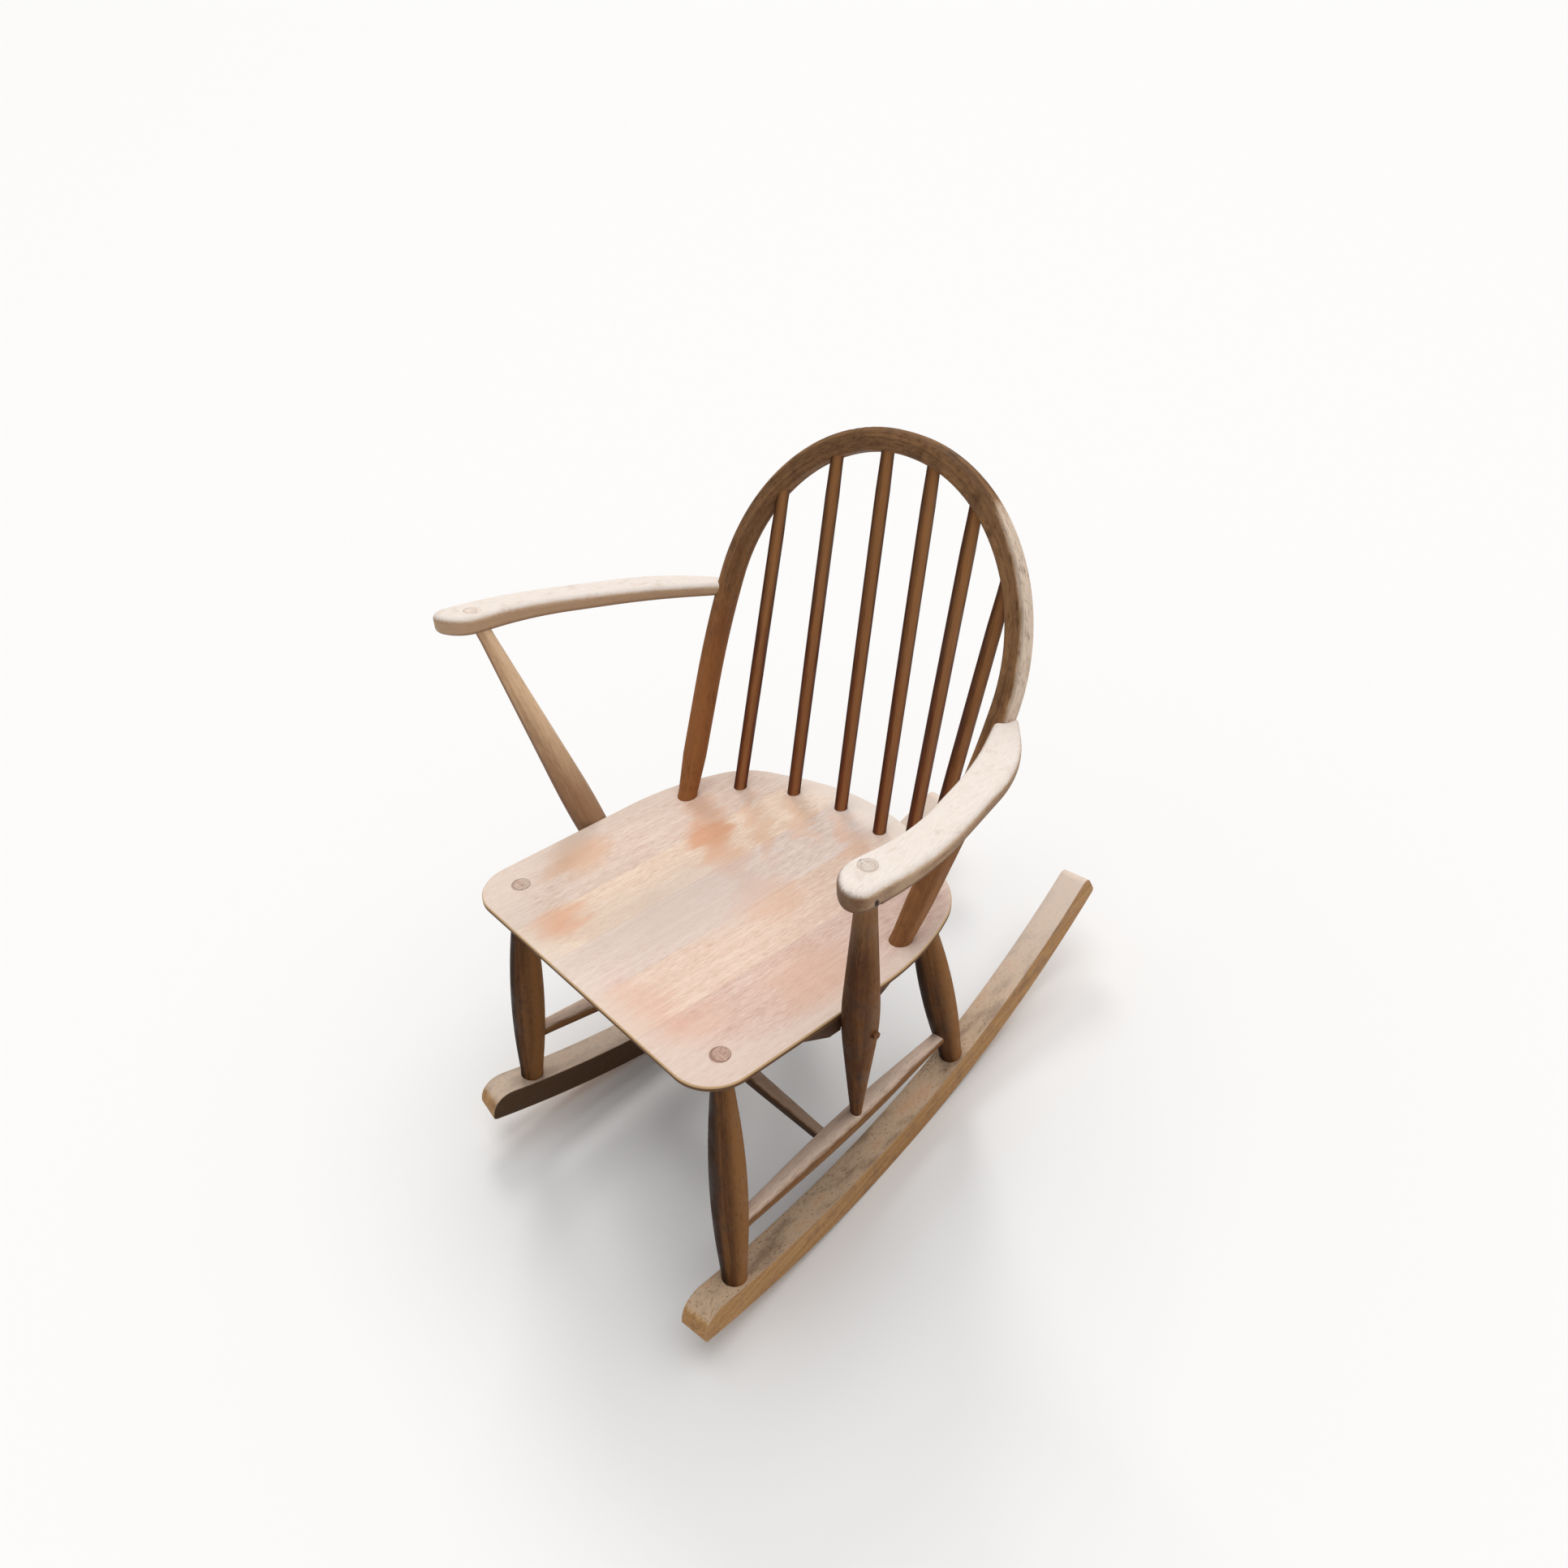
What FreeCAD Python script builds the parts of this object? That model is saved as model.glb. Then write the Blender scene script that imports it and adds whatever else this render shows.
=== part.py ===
"""A hoop back rocking chair with arms: plank seat, one bent hoop, six sticks, turned legs and two curved rockers.

The chair is laid out in a seat frame (origin in the middle of the seat's top, X to the sitter's left,
Y to the back, Z square to the seat) and set down on its rockers by one placement, leaning back by the
angle at which it balances. The rockers stand upright on the floor, which is Z zero.
"""

import FreeCAD, Part
import math
import os

import Sketcher
from FreeCAD import Placement, Rotation, Vector

X_AXIS, Y_AXIS, Z_AXIS = Vector(1, 0, 0), Vector(0, 1, 0), Vector(0, 0, 1)

# Driving sizes, in millimetres and degrees

DIMENSIONS = {
    # how the chair stands
    "rest_tilt": 7.7,
    "seat_height": 330.76,
    "chair_shift": -126.0,
    # fits
    "joint_gap": 0.15,
    "end_gap": 0.3,
    "glue_line": 0.1,
    "overrun": 12.0,
    # seat: the distances to the pegs and to the foot of the hoop run inward from its front or its back edge
    "seat_width": 402.0,
    "seat_depth": 409.0,
    "seat_front": 147.0,
    "seat_thick": 22.0,
    "seat_edge": 5.5,
    "seat_bevel": 27.0,
    "seat_top_round": 2.0,
    "seat_pad_width": 112.0,
    "seat_pad_slope": 32.0,
    "seat_pad_depth": 60.0,
    # hoop
    "hoop_foot_side": 169.2,
    "hoop_foot_back": 139.4,
    "hoop_lean": 24.35,
    "hoop_toe": 7.5,
    "hoop_radius": 194.0,
    "hoop_spring": 251.0,
    "hoop_deep": 23.0,
    "hoop_thick": 24.0,
    "hoop_corner": 8.5,
    "hoop_foot_dia": 21.6,
    "hoop_foot_rise": 48.0,
    "hoop_neck": 9.0,
    # sticks
    "stick_dia": 14.8,
    "stick_foot_dia": 14.4,
    "stick_top_dia": 13.2,
    "stick_foot_depth": 17.0,
    "stick_top_depth": 11.0,
    "stick_neck": 5.0,
    # legs
    "leg_peg_dia": 20.0,
    "leg_swell": 37.0,
    "leg_foot_dia": 26.0,
    "leg_tenon_dia": 17.0,
    "leg_tenon_depth": 20.0,
    "front_peg_side": 165.0,
    "front_peg_fore": 44.9,
    "rear_peg_side": 128.0,
    "rear_peg_back": 74.2,
    "rear_peg_depth": 17.0,
    # stretchers
    "stretcher_swell": 25.0,
    "stretcher_front_dia": 17.6,
    "stretcher_rear_dia": 15.8,
    "stretcher_neck": 4.0,
    "cross_swell": 20.0,
    "cross_end_dia": 14.6,
    # arm posts
    "post_head_dia": 16.4,
    "post_swell": 35.2,
    "post_foot_dia": 12.6,
    "post_top_side": 288.4,
    "post_top_fore": 108.1,
    "edge_dowel_dia": 8.0,
    "edge_dowel_length": 62.0,
    "edge_dowel_proud": 4.5,
    # arms
    "arm_top_height": 251.7,
    "arm_width": 41.6,
    "arm_thick": 21.0,
    "arm_end_width": 24.6,
    "arm_end_thick": 15.4,
    "arm_round": 6.8,
    "arm_dowel_dia": 8.0,
    "arm_dowel_length": 34.0,
    "arm_pin_hole_dia": 5.6,
    "arm_pin_hole_depth": 7.0,
    "arm_pin_hole_fore": 11.0,
    # wedges in the split pegs
    "wedge_thick": 2.6,
    "wedge_tip": 0.8,
    "wedge_length": 15.0,
    # rockers
    "rocker_radius": 1000.0,
    "rocker_deep": 34.4,
    "rocker_width": 33.0,
    "rocker_toe": 6.7,
    "rocker_side": 156.9,
    "rocker_contact": 81.15,
    "rocker_nose": 307.1,
    "rocker_tail": 397.6,
    "rocker_nose_round": 25.0,
    "rocker_tail_round": 11.0,
    "rocker_toe_ease": 5.0,
    "front_foot_station": 243.2,
    "rear_foot_station": 118.7,
}

# Shares of the sizes above

SEAT_CORNER_SHARES = [(1.0, 0.0, 0.165), (1.0, 0.6594, 0.62), (0.8224, 0.868, 0.33), (0.0, 1.0741, 0.66)]
BOARD_JOINT_SHARES = [-0.5227, -0.204, 0.1468, 0.4922]
STICK_FOOT_SHARES = [(0.1512, 0.9247), (0.4428, 0.8807), (0.698, 0.7917)]
STICK_TOP_SHARES = [0.1567, 0.4784, 0.785]
HOOP_ROUND_SHARE = 0.99
FLANK_REACH_SHARE = 0.94
LEG_SWELL_SHARE = 0.56
LEG_ROUND_SHARE = 0.72
FRONT_STRETCHER_SHARE = 0.775
REAR_STRETCHER_SHARE = 0.848
CROSS_SHARE = 0.4134
POST_FOOT_SHARE = 0.543
POST_SWELL_SHARE = 0.53
POST_ROUND_SHARE = 0.108
POST_NECK_SHARE = 1.6
STRETCHER_ROUND_SHARE = 0.5
ARM_PLAN_SHARES = [
    (-0.3822, -0.0907, 0.46), (0.6274, -0.1771, 0.5), (0.6274, 0.1673, 0.62), (-0.66, 0.83, 0.66),
    (-1.36, 0.7, 0.6), (-0.3822, 0.235, 0.48),
]
ARM_PIN_SHARE = 0.74
ARM_OUT_SHARE = 0.28
ARM_JOINT_SHARE = 0.949
ARM_FORE_SHARE = -0.04
ARM_END_TURN_SHARE = 0.4
EDGE_DOWEL_SHARE = 0.42
HALF_SHARE = 0.5

doc = FreeCAD.newDocument("hoop_back_rocking_chair")


class Size:
    """A length held as a number together with the expression that ties it to a sheet."""

    def __init__(self, number, text):
        self.number = float(number)
        self.text = text

    def __add__(self, other):
        return Size(self.number + other.number, f"({self.text} + {other.text})")

    def __sub__(self, other):
        return Size(self.number - other.number, f"({self.text} - {other.text})")

    def __mul__(self, share):
        return Size(self.number * share, f"({self.text} * {share!r})")

    def __neg__(self):
        return Size(-self.number, f"(0 mm - {self.text})")

    @property
    def half(self):
        return self * HALF_SHARE


NOUGHT = Size(0.0, "0 mm")


def make_sheet(name):
    """Adds an empty sheet to the document."""
    sheet = doc.addObject("Spreadsheet::Sheet", name)
    sheet.Label = name
    return sheet


def write_cell(sheet, row, alias, number):
    """Writes one named number as text and gives its cell the alias."""
    sheet.set(f"A{row}", alias)
    sheet.set(f"B{row}", repr(float(number)))
    sheet.setAlias(f"B{row}", alias)


dimensions = make_sheet("Dimensions")
for row_number, (size_name, size_value) in enumerate(DIMENSIONS.items(), start=1):
    write_cell(dimensions, row_number, size_name, size_value)
skeleton = make_sheet("Skeleton")
doc.recompute()
skeleton_rows = []


def num(name):
    """Reads one driving size from the sheet as a number."""
    return float(dimensions.get(name))


def size(name):
    """Gives one driving length with the expression that binds to it."""
    return Size(num(name), f"Dimensions.{name} * 1 mm")


def derive(name, number):
    """Keeps a length that follows from others in the skeleton sheet, and gives it back as a size."""
    skeleton_rows.append(name)
    write_cell(skeleton, len(skeleton_rows), name, number)
    skeleton.recompute()
    return Size(number, f"Skeleton.{name} * 1 mm")


def bind(feature, **sizes):
    """Ties the named properties of a feature to the sheets."""
    for prop, value in sizes.items():
        feature.setExpression(prop, value.text)
    return feature


# Layout of the chair

FLOOR = Placement(Vector(0, num("chair_shift"), num("seat_height")), Rotation(X_AXIS, -num("rest_tilt")))


def on_floor(x, y, z):
    """Moves a place in the seat frame to where it is once the chair stands on its rockers."""
    return FLOOR.multVec(Vector(x, y, z))


def from_front(name):
    """Gives how far back a place lies that a size sets off from the seat's front edge."""
    return num(name) - num("seat_front")


def from_back(name):
    """Gives how far back a place lies that a size sets off from the seat's back edge."""
    return num("seat_depth") - num("seat_front") - num(name)


def between(start, end, share):
    """Gives the place that lies the given share of the way from start to end."""
    return start + (end - start) * share


def along(start, end):
    """Stands a piece's own Z axis on the line from start to end, with its own X level."""
    axis = (end - start).normalize()
    level = Y_AXIS.cross(axis).normalize()
    return Placement(start, Rotation(level, axis.cross(level), axis, "ZXY"))


def hoop_place():
    """Stands the hoop's own plane (X across, Z up the hoop) on its feet, leaning back."""
    lean = Rotation(X_AXIS, -num("hoop_lean"))
    return FLOOR.multiply(Placement(Vector(0, from_back("hoop_foot_back"), 0), lean))


def rocker_place():
    """Stands a rocker's own upright plane (Y along it, Z up) on its line of contact with the floor."""
    foot = Vector(num("rocker_side"), num("chair_shift") + num("rocker_contact"), 0)
    return Placement(foot, Rotation(Z_AXIS, num("rocker_toe")))


def rocker_top(station):
    """Gives the place on the middle of a rocker's top face at a distance along it from the contact line."""
    inner = num("rocker_radius") - num("rocker_deep")
    rise = num("rocker_radius") - math.sqrt(inner ** 2 - station ** 2)
    return rocker_place().multVec(Vector(0, station, rise))


HOOP = hoop_place()
ROCKER = rocker_place()
FRONT_PEG = on_floor(num("front_peg_side"), from_front("front_peg_fore"), 0)
FRONT_FOOT = rocker_top(-num("front_foot_station"))
REAR_PEG = on_floor(num("rear_peg_side"), from_back("rear_peg_back"), num("rear_peg_depth") - num("seat_thick"))
REAR_FOOT = rocker_top(num("rear_foot_station"))
SIDE_FRONT = between(FRONT_PEG, FRONT_FOOT, FRONT_STRETCHER_SHARE)
SIDE_REAR = between(REAR_PEG, REAR_FOOT, REAR_STRETCHER_SHARE)
CROSS_END = between(SIDE_FRONT, SIDE_REAR, CROSS_SHARE)
POST_TOP = on_floor(num("post_top_side"), from_front("post_top_fore"), num("arm_top_height"))
POST_FOOT = between(SIDE_FRONT, SIDE_REAR, POST_FOOT_SHARE)


# Drawing

def plane_of(body, role):
    """Finds one of a body's own origin planes by its role."""
    return next(plane for plane in body.Origin.OriginFeatures if plane.Role == role)


def new_sketch(body, role, name):
    """Starts a sketch on one of the body's own origin planes."""
    sketch = body.newObject("Sketcher::SketchObject", name)
    sketch.AttachmentSupport = [(plane_of(body, role), "")]
    sketch.MapMode = "FlatFace"
    return sketch


def hold(sketch, constraint, value, label):
    """Adds a constraint with a value and ties the value to the sheets."""
    index = sketch.addConstraint(constraint)
    if value is NOUGHT:
        return
    sketch.renameConstraint(index, label)
    sketch.setExpression(f"Constraints.{label}", value.text)


def pin_point(sketch, geometry, vertex, label, x, y):
    """Holds a point of a sketch at its two distances from the origin."""
    hold(sketch, Sketcher.Constraint("DistanceX", -1, 1, geometry, vertex, x.number), x, f"{label}_x")
    hold(sketch, Sketcher.Constraint("DistanceY", -1, 1, geometry, vertex, y.number), y, f"{label}_y")


def corner_arc(before, corner, after, radius):
    """Works out the tangent arc of a rounded corner: its start, middle and end."""
    back, ahead = (before - corner).normalize(), (after - corner).normalize()
    half_angle = back.getAngle(ahead) / 2
    reach = radius / math.tan(half_angle)
    centre = corner + (back + ahead).normalize() * (radius / math.sin(half_angle))
    middle = centre + (corner - centre).normalize() * radius
    return corner + back * reach, middle, corner + ahead * reach


def draw(sketch, corners, closed=True):
    """Draws lines through corners given as (x, y) or (x, y, radius), with tangent arcs at the rounded ones."""
    spots = [Vector(corner[0].number, corner[1].number, 0) for corner in corners]
    count = len(corners)
    rounded = [len(corner) > 2 for corner in corners]
    arcs = {
        i: corner_arc(spots[i - 1], spots[i], spots[(i + 1) % count], corners[i][2].number)
        for i in range(count) if rounded[i]
    }
    lines = []
    for i in range(count if closed else count - 1):
        after = (i + 1) % count
        start = arcs[i][2] if rounded[i] else spots[i]
        end = arcs[after][0] if rounded[after] else spots[after]
        lines.append(sketch.addGeometry(Part.LineSegment(start, end)))
    for i, corner in enumerate(corners):
        inner = closed or 0 < i < count - 1
        if not rounded[i]:
            line, vertex = (lines[i], 1) if i < len(lines) else (lines[i - 1], 2)
            if inner:
                sketch.addConstraint(Sketcher.Constraint("Coincident", lines[i - 1], 2, lines[i], 1))
            pin_point(sketch, line, vertex, f"corner{i}", corner[0], corner[1])
            continue
        arc = sketch.addGeometry(Part.Arc(*arcs[i]))
        first = min((1, 2), key=lambda end: sketch.getPoint(arc, end).distanceToPoint(arcs[i][0]))
        sketch.addConstraint(Sketcher.Constraint("Tangent", lines[i - 1], 2, arc, first))
        sketch.addConstraint(Sketcher.Constraint("Tangent", lines[i], 1, arc, 3 - first))
        point = sketch.addGeometry(Part.Point(spots[i]), True)
        sketch.addConstraint(Sketcher.Constraint("PointOnObject", point, 1, lines[i - 1]))
        sketch.addConstraint(Sketcher.Constraint("PointOnObject", point, 1, lines[i]))
        pin_point(sketch, point, 1, f"corner{i}", corner[0], corner[1])
        hold(sketch, Sketcher.Constraint("Radius", arc, corner[2].number), corner[2], f"corner{i}_radius")
    return sketch


def rounded_rectangle(sketch, wide, high, radius, x=NOUGHT, y=NOUGHT):
    """Draws a rectangle with round corners about the place x, y."""
    left, right, low, top = x - wide.half, x + wide.half, y - high.half, y + high.half
    return draw(sketch, [(left, low, radius), (right, low, radius), (right, top, radius), (left, top, radius)])


def pad(body, sketch, length, name, midplane=False):
    """Pads a sketch by a length, to both sides alike if midplane is set."""
    feature = body.newObject("PartDesign::Pad", name)
    feature.Profile = sketch
    feature.Midplane = midplane
    bind(feature, Length=length)
    return feature


def edge_near(feature, place):
    """Names the edge of a feature that passes closest to a place."""
    mark = Part.Vertex(place)
    gaps = [edge.distToShape(mark)[0] for edge in feature.Shape.Edges]
    return f"Edge{gaps.index(min(gaps)) + 1}"


# Pieces by general kind

def turned(name, placement, length, stations):
    """Turns a piece about its own Z axis from stations given as (height, radius) or (height, radius, reach)."""
    body = doc.addObject("PartDesign::Body", name)
    profile = [(NOUGHT, stations[0][0])]
    spots = [Vector(station[1].number, station[0].number, 0) for station in stations]
    for i, station in enumerate(stations):
        if len(station) == 2:
            profile.append((station[1], station[0]))
            continue
        back, ahead = (spots[i - 1] - spots[i]).normalize(), (spots[i + 1] - spots[i]).normalize()
        radius = station[2] * math.tan(back.getAngle(ahead) / 2)
        profile.append((station[1], station[0], derive(f"{name}_round{i}", radius)))
    profile.append((NOUGHT, stations[-1][0]))
    sketch = draw(new_sketch(body, "XZ_Plane", f"{name}_outline"), profile)
    turn = body.newObject("PartDesign::Revolution", f"{name}_turn")
    turn.Profile = sketch
    turn.ReferenceAxis = (sketch, ["V_Axis"])
    turn.Angle = 360
    body.Placement = placement
    return body


def peak_radius(swell, low, high, low_run, high_run, reach):
    """Finds the corner height that leaves the wanted radius once the corner is rounded over its reach."""
    peak = swell
    for _ in range(8):
        turn = math.atan((peak - low) / low_run) + math.atan((peak - high) / high_run)
        peak = swell + reach * math.tan(turn / 4)
    return peak


def cylinder(name, radius, start, end):
    """Makes a cylinder from start to end whose radius is tied to the sheets."""
    feature = doc.addObject("Part::Cylinder", name)
    bind(feature, Radius=radius, Height=derive(f"{name}_run", start.distanceToPoint(end)))
    feature.Placement = along(start, end)
    return feature


def box(name, placement, wide, deep, high):
    """Makes a box, centred across X and Y on its placement, that rises along its Z."""
    feature = doc.addObject("Part::Box", name)
    bind(feature, Length=wide, Width=deep, Height=high)
    feature.Placement = placement.multiply(Placement(Vector(-wide.number / 2, -deep.number / 2, 0), Rotation()))
    return feature


def fuse(name, pieces):
    """Joins several solids into one, or groups several cutting tools."""
    feature = doc.addObject("Part::MultiFuse", name)
    feature.Shapes = pieces
    return feature


def cut(name, base, tools):
    """Cuts one or more tools out of a base."""
    feature = doc.addObject("Part::Cut", name)
    feature.Base = base
    feature.Tool = tools[0] if len(tools) == 1 else fuse(f"{name}_tools", tools)
    return feature


def common(name, base, tool):
    """Keeps what two solids share."""
    feature = doc.addObject("Part::Common", name)
    feature.Base = base
    feature.Tool = tool
    return feature


def mirrored(name, source):
    """Repeats a piece of the left side on the right side."""
    feature = doc.addObject("Part::Mirroring", name)
    feature.Source = source
    feature.Normal = X_AXIS
    return feature


subparts = {}


def keep(name, feature):
    """Gives a finished piece its own name."""
    feature.Label = name
    subparts[name] = feature
    return feature


def keep_pair(name, feature):
    """Keeps a piece of the left side and its twin on the right."""
    keep(f"{name}_left", feature)
    keep(f"{name}_right", mirrored(f"{name}_right", feature))


def bore(name, diameter, start, end):
    """Makes the cutting tool of a round hole that clears a peg of the given diameter."""
    return cylinder(name, diameter.half + size("joint_gap"), start, end)


def past(start, end, distance):
    """Gives the place a distance beyond end on the line from start."""
    return end + (end - start).normalize() * distance


# Cutting planes of the seat: one box above its top, one below its underside

OVERRUN = size("overrun")
SPAN = derive("span", num("seat_width") + num("seat_depth"))
above_seat = box("above_seat", FLOOR, SPAN, SPAN, OVERRUN + OVERRUN)
SEAT_UNDER = FLOOR.multiply(Placement(Vector(0, 0, -num("seat_thick")), Rotation()))
below_seat = box("below_seat", SEAT_UNDER.multiply(Placement(Vector(0, 0, -4 * num("overrun")), Rotation())),
                 SPAN, SPAN, OVERRUN * 4)


# Rockers: an upright ring sector, eased at the nose and the tail

def rocker_blank():
    """Draws the side of a rocker between two arcs about one centre, with radial ends, and rounds its ends."""
    body = doc.addObject("PartDesign::Body", "rocker_blank")
    sketch = new_sketch(body, "YZ_Plane", "rocker_side")
    outer, deep = size("rocker_radius"), size("rocker_deep")
    inner = outer - deep
    centre = Vector(0, outer.number, 0)
    nose = math.asin(num("rocker_nose") / outer.number)
    tail = math.asin(num("rocker_tail") / outer.number)
    ends = [-math.pi / 2 - nose, -math.pi / 2 + tail]
    circles = [Part.Circle(centre, Z_AXIS, arc.number) for arc in (outer, inner)]
    rims = [sketch.addGeometry(Part.ArcOfCircle(circle, *ends)) for circle in circles]
    for end in (1, 2):
        low, high = sketch.getPoint(rims[0], end), sketch.getPoint(rims[1], end)
        line = sketch.addGeometry(Part.LineSegment(low, high))
        sketch.addConstraint(Sketcher.Constraint("Coincident", line, 1, rims[0], end))
        sketch.addConstraint(Sketcher.Constraint("Coincident", line, 2, rims[1], end))
        sketch.addConstraint(Sketcher.Constraint("PointOnObject", rims[0], 3, line))
    sketch.addConstraint(Sketcher.Constraint("Coincident", rims[0], 3, rims[1], 3))
    pin_point(sketch, rims[0], 3, "centre", NOUGHT, outer)
    hold(sketch, Sketcher.Constraint("Radius", rims[0], outer.number), outer, "outer_radius")
    hold(sketch, Sketcher.Constraint("Radius", rims[1], inner.number), inner, "inner_radius")
    for name, points in (("nose", (rims[0], 1, -1, 1)), ("tail", (-1, 1, rims[0], 2))):
        reach = size(f"rocker_{name}")
        hold(sketch, Sketcher.Constraint("DistanceX", *points, reach.number), reach, name)
    blank = pad(body, sketch, size("rocker_width"), "rocker_plank", midplane=True)
    doc.recompute()
    corners = {"nose": sketch.getPoint(rims[0], 1), "tail": sketch.getPoint(rims[0], 2)}
    top_share = inner.number / outer.number
    for name, end, share, radius in (
        ("nose_top", "nose", top_share, "rocker_nose_round"), ("nose_low", "nose", 1, "rocker_toe_ease"),
        ("tail_top", "tail", top_share, "rocker_tail_round"), ("tail_low", "tail", 1, "rocker_toe_ease"),
    ):
        corner = between(centre, corners[end], share)
        rounding = body.newObject("PartDesign::Fillet", f"rocker_{name}")
        rounding.Base = (blank, [edge_near(blank, Vector(0, corner.x, corner.y))])
        bind(rounding, Radius=size(radius))
        doc.recompute()
        blank = rounding
    body.Placement = ROCKER
    return body


def leg_tenon(name, foot, peg):
    """Makes the round tenon of a leg's foot and the bore that takes it in the rocker."""
    inside = past(foot, peg, -foot.distanceToPoint(peg) + num("leg_swell"))
    low = past(peg, foot, num("leg_tenon_depth"))
    deeper = past(peg, foot, num("leg_tenon_depth") + num("end_gap"))
    tenon = cylinder(f"{name}_foot_tenon", size("leg_tenon_dia").half, low, inside)
    return tenon, bore(f"{name}_foot_bore", size("leg_tenon_dia"), deeper, inside)


FOOT_TENON = {
    "front_leg": leg_tenon("front_leg", FRONT_FOOT, FRONT_PEG),
    "rear_leg": leg_tenon("rear_leg", REAR_FOOT, REAR_PEG),
}
keep_pair("rocker", cut("rocker", rocker_blank(), [bores for tenon, bores in FOOT_TENON.values()]))


# Wedges driven into split pegs

def wedge_blank(name, placement, wide, loose):
    """Makes a wedge whose thick end lies on its placement and which points down its Z axis."""
    body = doc.addObject("PartDesign::Body", name)
    thick, tip = size("wedge_thick") + loose * 2, size("wedge_tip") + loose * 2
    deep = size("wedge_length") + loose
    corners = [(-tip.half, -deep), (tip.half, -deep), (thick.half, NOUGHT), (-thick.half, NOUGHT)]
    pad(body, draw(new_sketch(body, "YZ_Plane", f"{name}_side"), corners), wide, f"{name}_pad", midplane=True)
    body.Placement = placement
    return body


def split_peg(name, start, top, diameter):
    """Makes the wedge of a split peg and the kerf that takes it."""
    place = along(start, top)
    place.Base = past(start, top, size("end_gap").number)
    kerf = wedge_blank(f"{name}_kerf", place, diameter + OVERRUN, size("joint_gap"))
    return wedge_blank(f"{name}_wedge_blank", place, diameter - size("end_gap") * 4, NOUGHT), kerf


# Legs: a straight peg, one long swell, and a foot coped to the rocker's top

def leg(name, foot, peg, through):
    """Turns a leg between its peg and its foot and shapes both of its ends."""
    length = derive(f"{name}_length", foot.distanceToPoint(peg))
    top = length + OVERRUN if through else length
    neck = length - size("seat_thick") * 1.15 if through else length - size("rear_peg_depth") * 1.15
    low, high = num("leg_foot_dia") / 2, num("leg_peg_dia") / 2
    swell_height = length * (1 - LEG_SWELL_SHARE)
    reach = min(swell_height.number, neck.number - swell_height.number) * LEG_ROUND_SHARE
    rest = neck.number - swell_height.number
    peak = peak_radius(num("leg_swell") / 2, low, high, swell_height.number, rest, reach)
    start = NOUGHT - OVERRUN
    swell = derive(f"{name}_peak", peak)
    stations = [
        (start, size("leg_foot_dia").half), (length * 0.03, size("leg_foot_dia").half), (swell_height, swell, reach),
        (neck, size("leg_peg_dia").half), (top, size("leg_peg_dia").half),
    ]
    blank = turned(f"{name}_turned", along(foot, peg), length, stations)
    tread = doc.addObject("Part::Cylinder", f"{name}_tread")
    radius = size("rocker_radius") - size("rocker_deep") - size("joint_gap")
    bind(tread, Radius=radius, Height=size("rocker_width") * 3)
    centre = Vector(-1.5 * num("rocker_width"), 0, num("rocker_radius"))
    tread.Placement = ROCKER.multiply(Placement(centre, Rotation(Y_AXIS, 90)))
    coped = common(f"{name}_coped", blank, tread)
    return fuse(f"{name}_whole", [coped, FOOT_TENON[name][0]])


front_whole = leg("front_leg", FRONT_FOOT, FRONT_PEG, True)
rear_whole = leg("rear_leg", REAR_FOOT, REAR_PEG, False)
front_wedge, front_kerf = split_peg("front_leg", FRONT_FOOT, FRONT_PEG, size("leg_peg_dia"))
side_front_bore = bore("side_front_bore", size("stretcher_front_dia"), past(SIDE_REAR, SIDE_FRONT, num("end_gap")),
                       between(SIDE_FRONT, SIDE_REAR, 0.2))
side_rear_bore = bore("side_rear_bore", size("stretcher_rear_dia"), past(SIDE_FRONT, SIDE_REAR, num("end_gap")),
                      between(SIDE_REAR, SIDE_FRONT, 0.2))
keep_pair("front_leg", cut("front_leg", front_whole, [above_seat, front_kerf, side_front_bore]))
keep_pair("rear_leg", cut("rear_leg", rear_whole, [side_rear_bore]))
keep_pair("front_leg_wedge", cut("front_leg_wedge", front_wedge, [above_seat]))


# Stretchers: straight at both ends, with a swell in the middle

def stretcher(name, start, end, start_dia, end_dia, swell, neck):
    """Turns a stretcher whose ends run straight into their bores."""
    length = derive(f"{name}_length", start.distanceToPoint(end))
    first, last = neck, length - neck
    run = length.half.number - neck.number
    reach = run * STRETCHER_ROUND_SHARE
    peak = peak_radius(swell.number / 2, start_dia.number / 2, end_dia.number / 2, run, run, reach)
    stations = [
        (NOUGHT, start_dia.half), (first, start_dia.half), (length.half, derive(f"{name}_peak", peak), reach),
        (last, end_dia.half), (length, end_dia.half),
    ]
    return turned(f"{name}_turned", along(start, end), length, stations)


side_blank = stretcher("side_stretcher", SIDE_FRONT, SIDE_REAR, size("stretcher_front_dia"), size("stretcher_rear_dia"),
                       size("stretcher_swell"), size("leg_swell").half + size("stretcher_neck"))
CROSS_FAR = Vector(-CROSS_END.x, CROSS_END.y, CROSS_END.z)
cross = stretcher("cross_stretcher", CROSS_FAR, CROSS_END, size("cross_end_dia"), size("cross_end_dia"),
                  size("cross_swell"), size("stretcher_swell").half + size("stretcher_neck"))
keep("cross_stretcher", cross)
cross_bore = bore("cross_bore", size("cross_end_dia"), past(CROSS_FAR, CROSS_END, num("end_gap")),
                  between(CROSS_END, CROSS_FAR, 0.2))


# Arm posts: a long cone above the seat, a round swell at its edge and a short cone below

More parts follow.
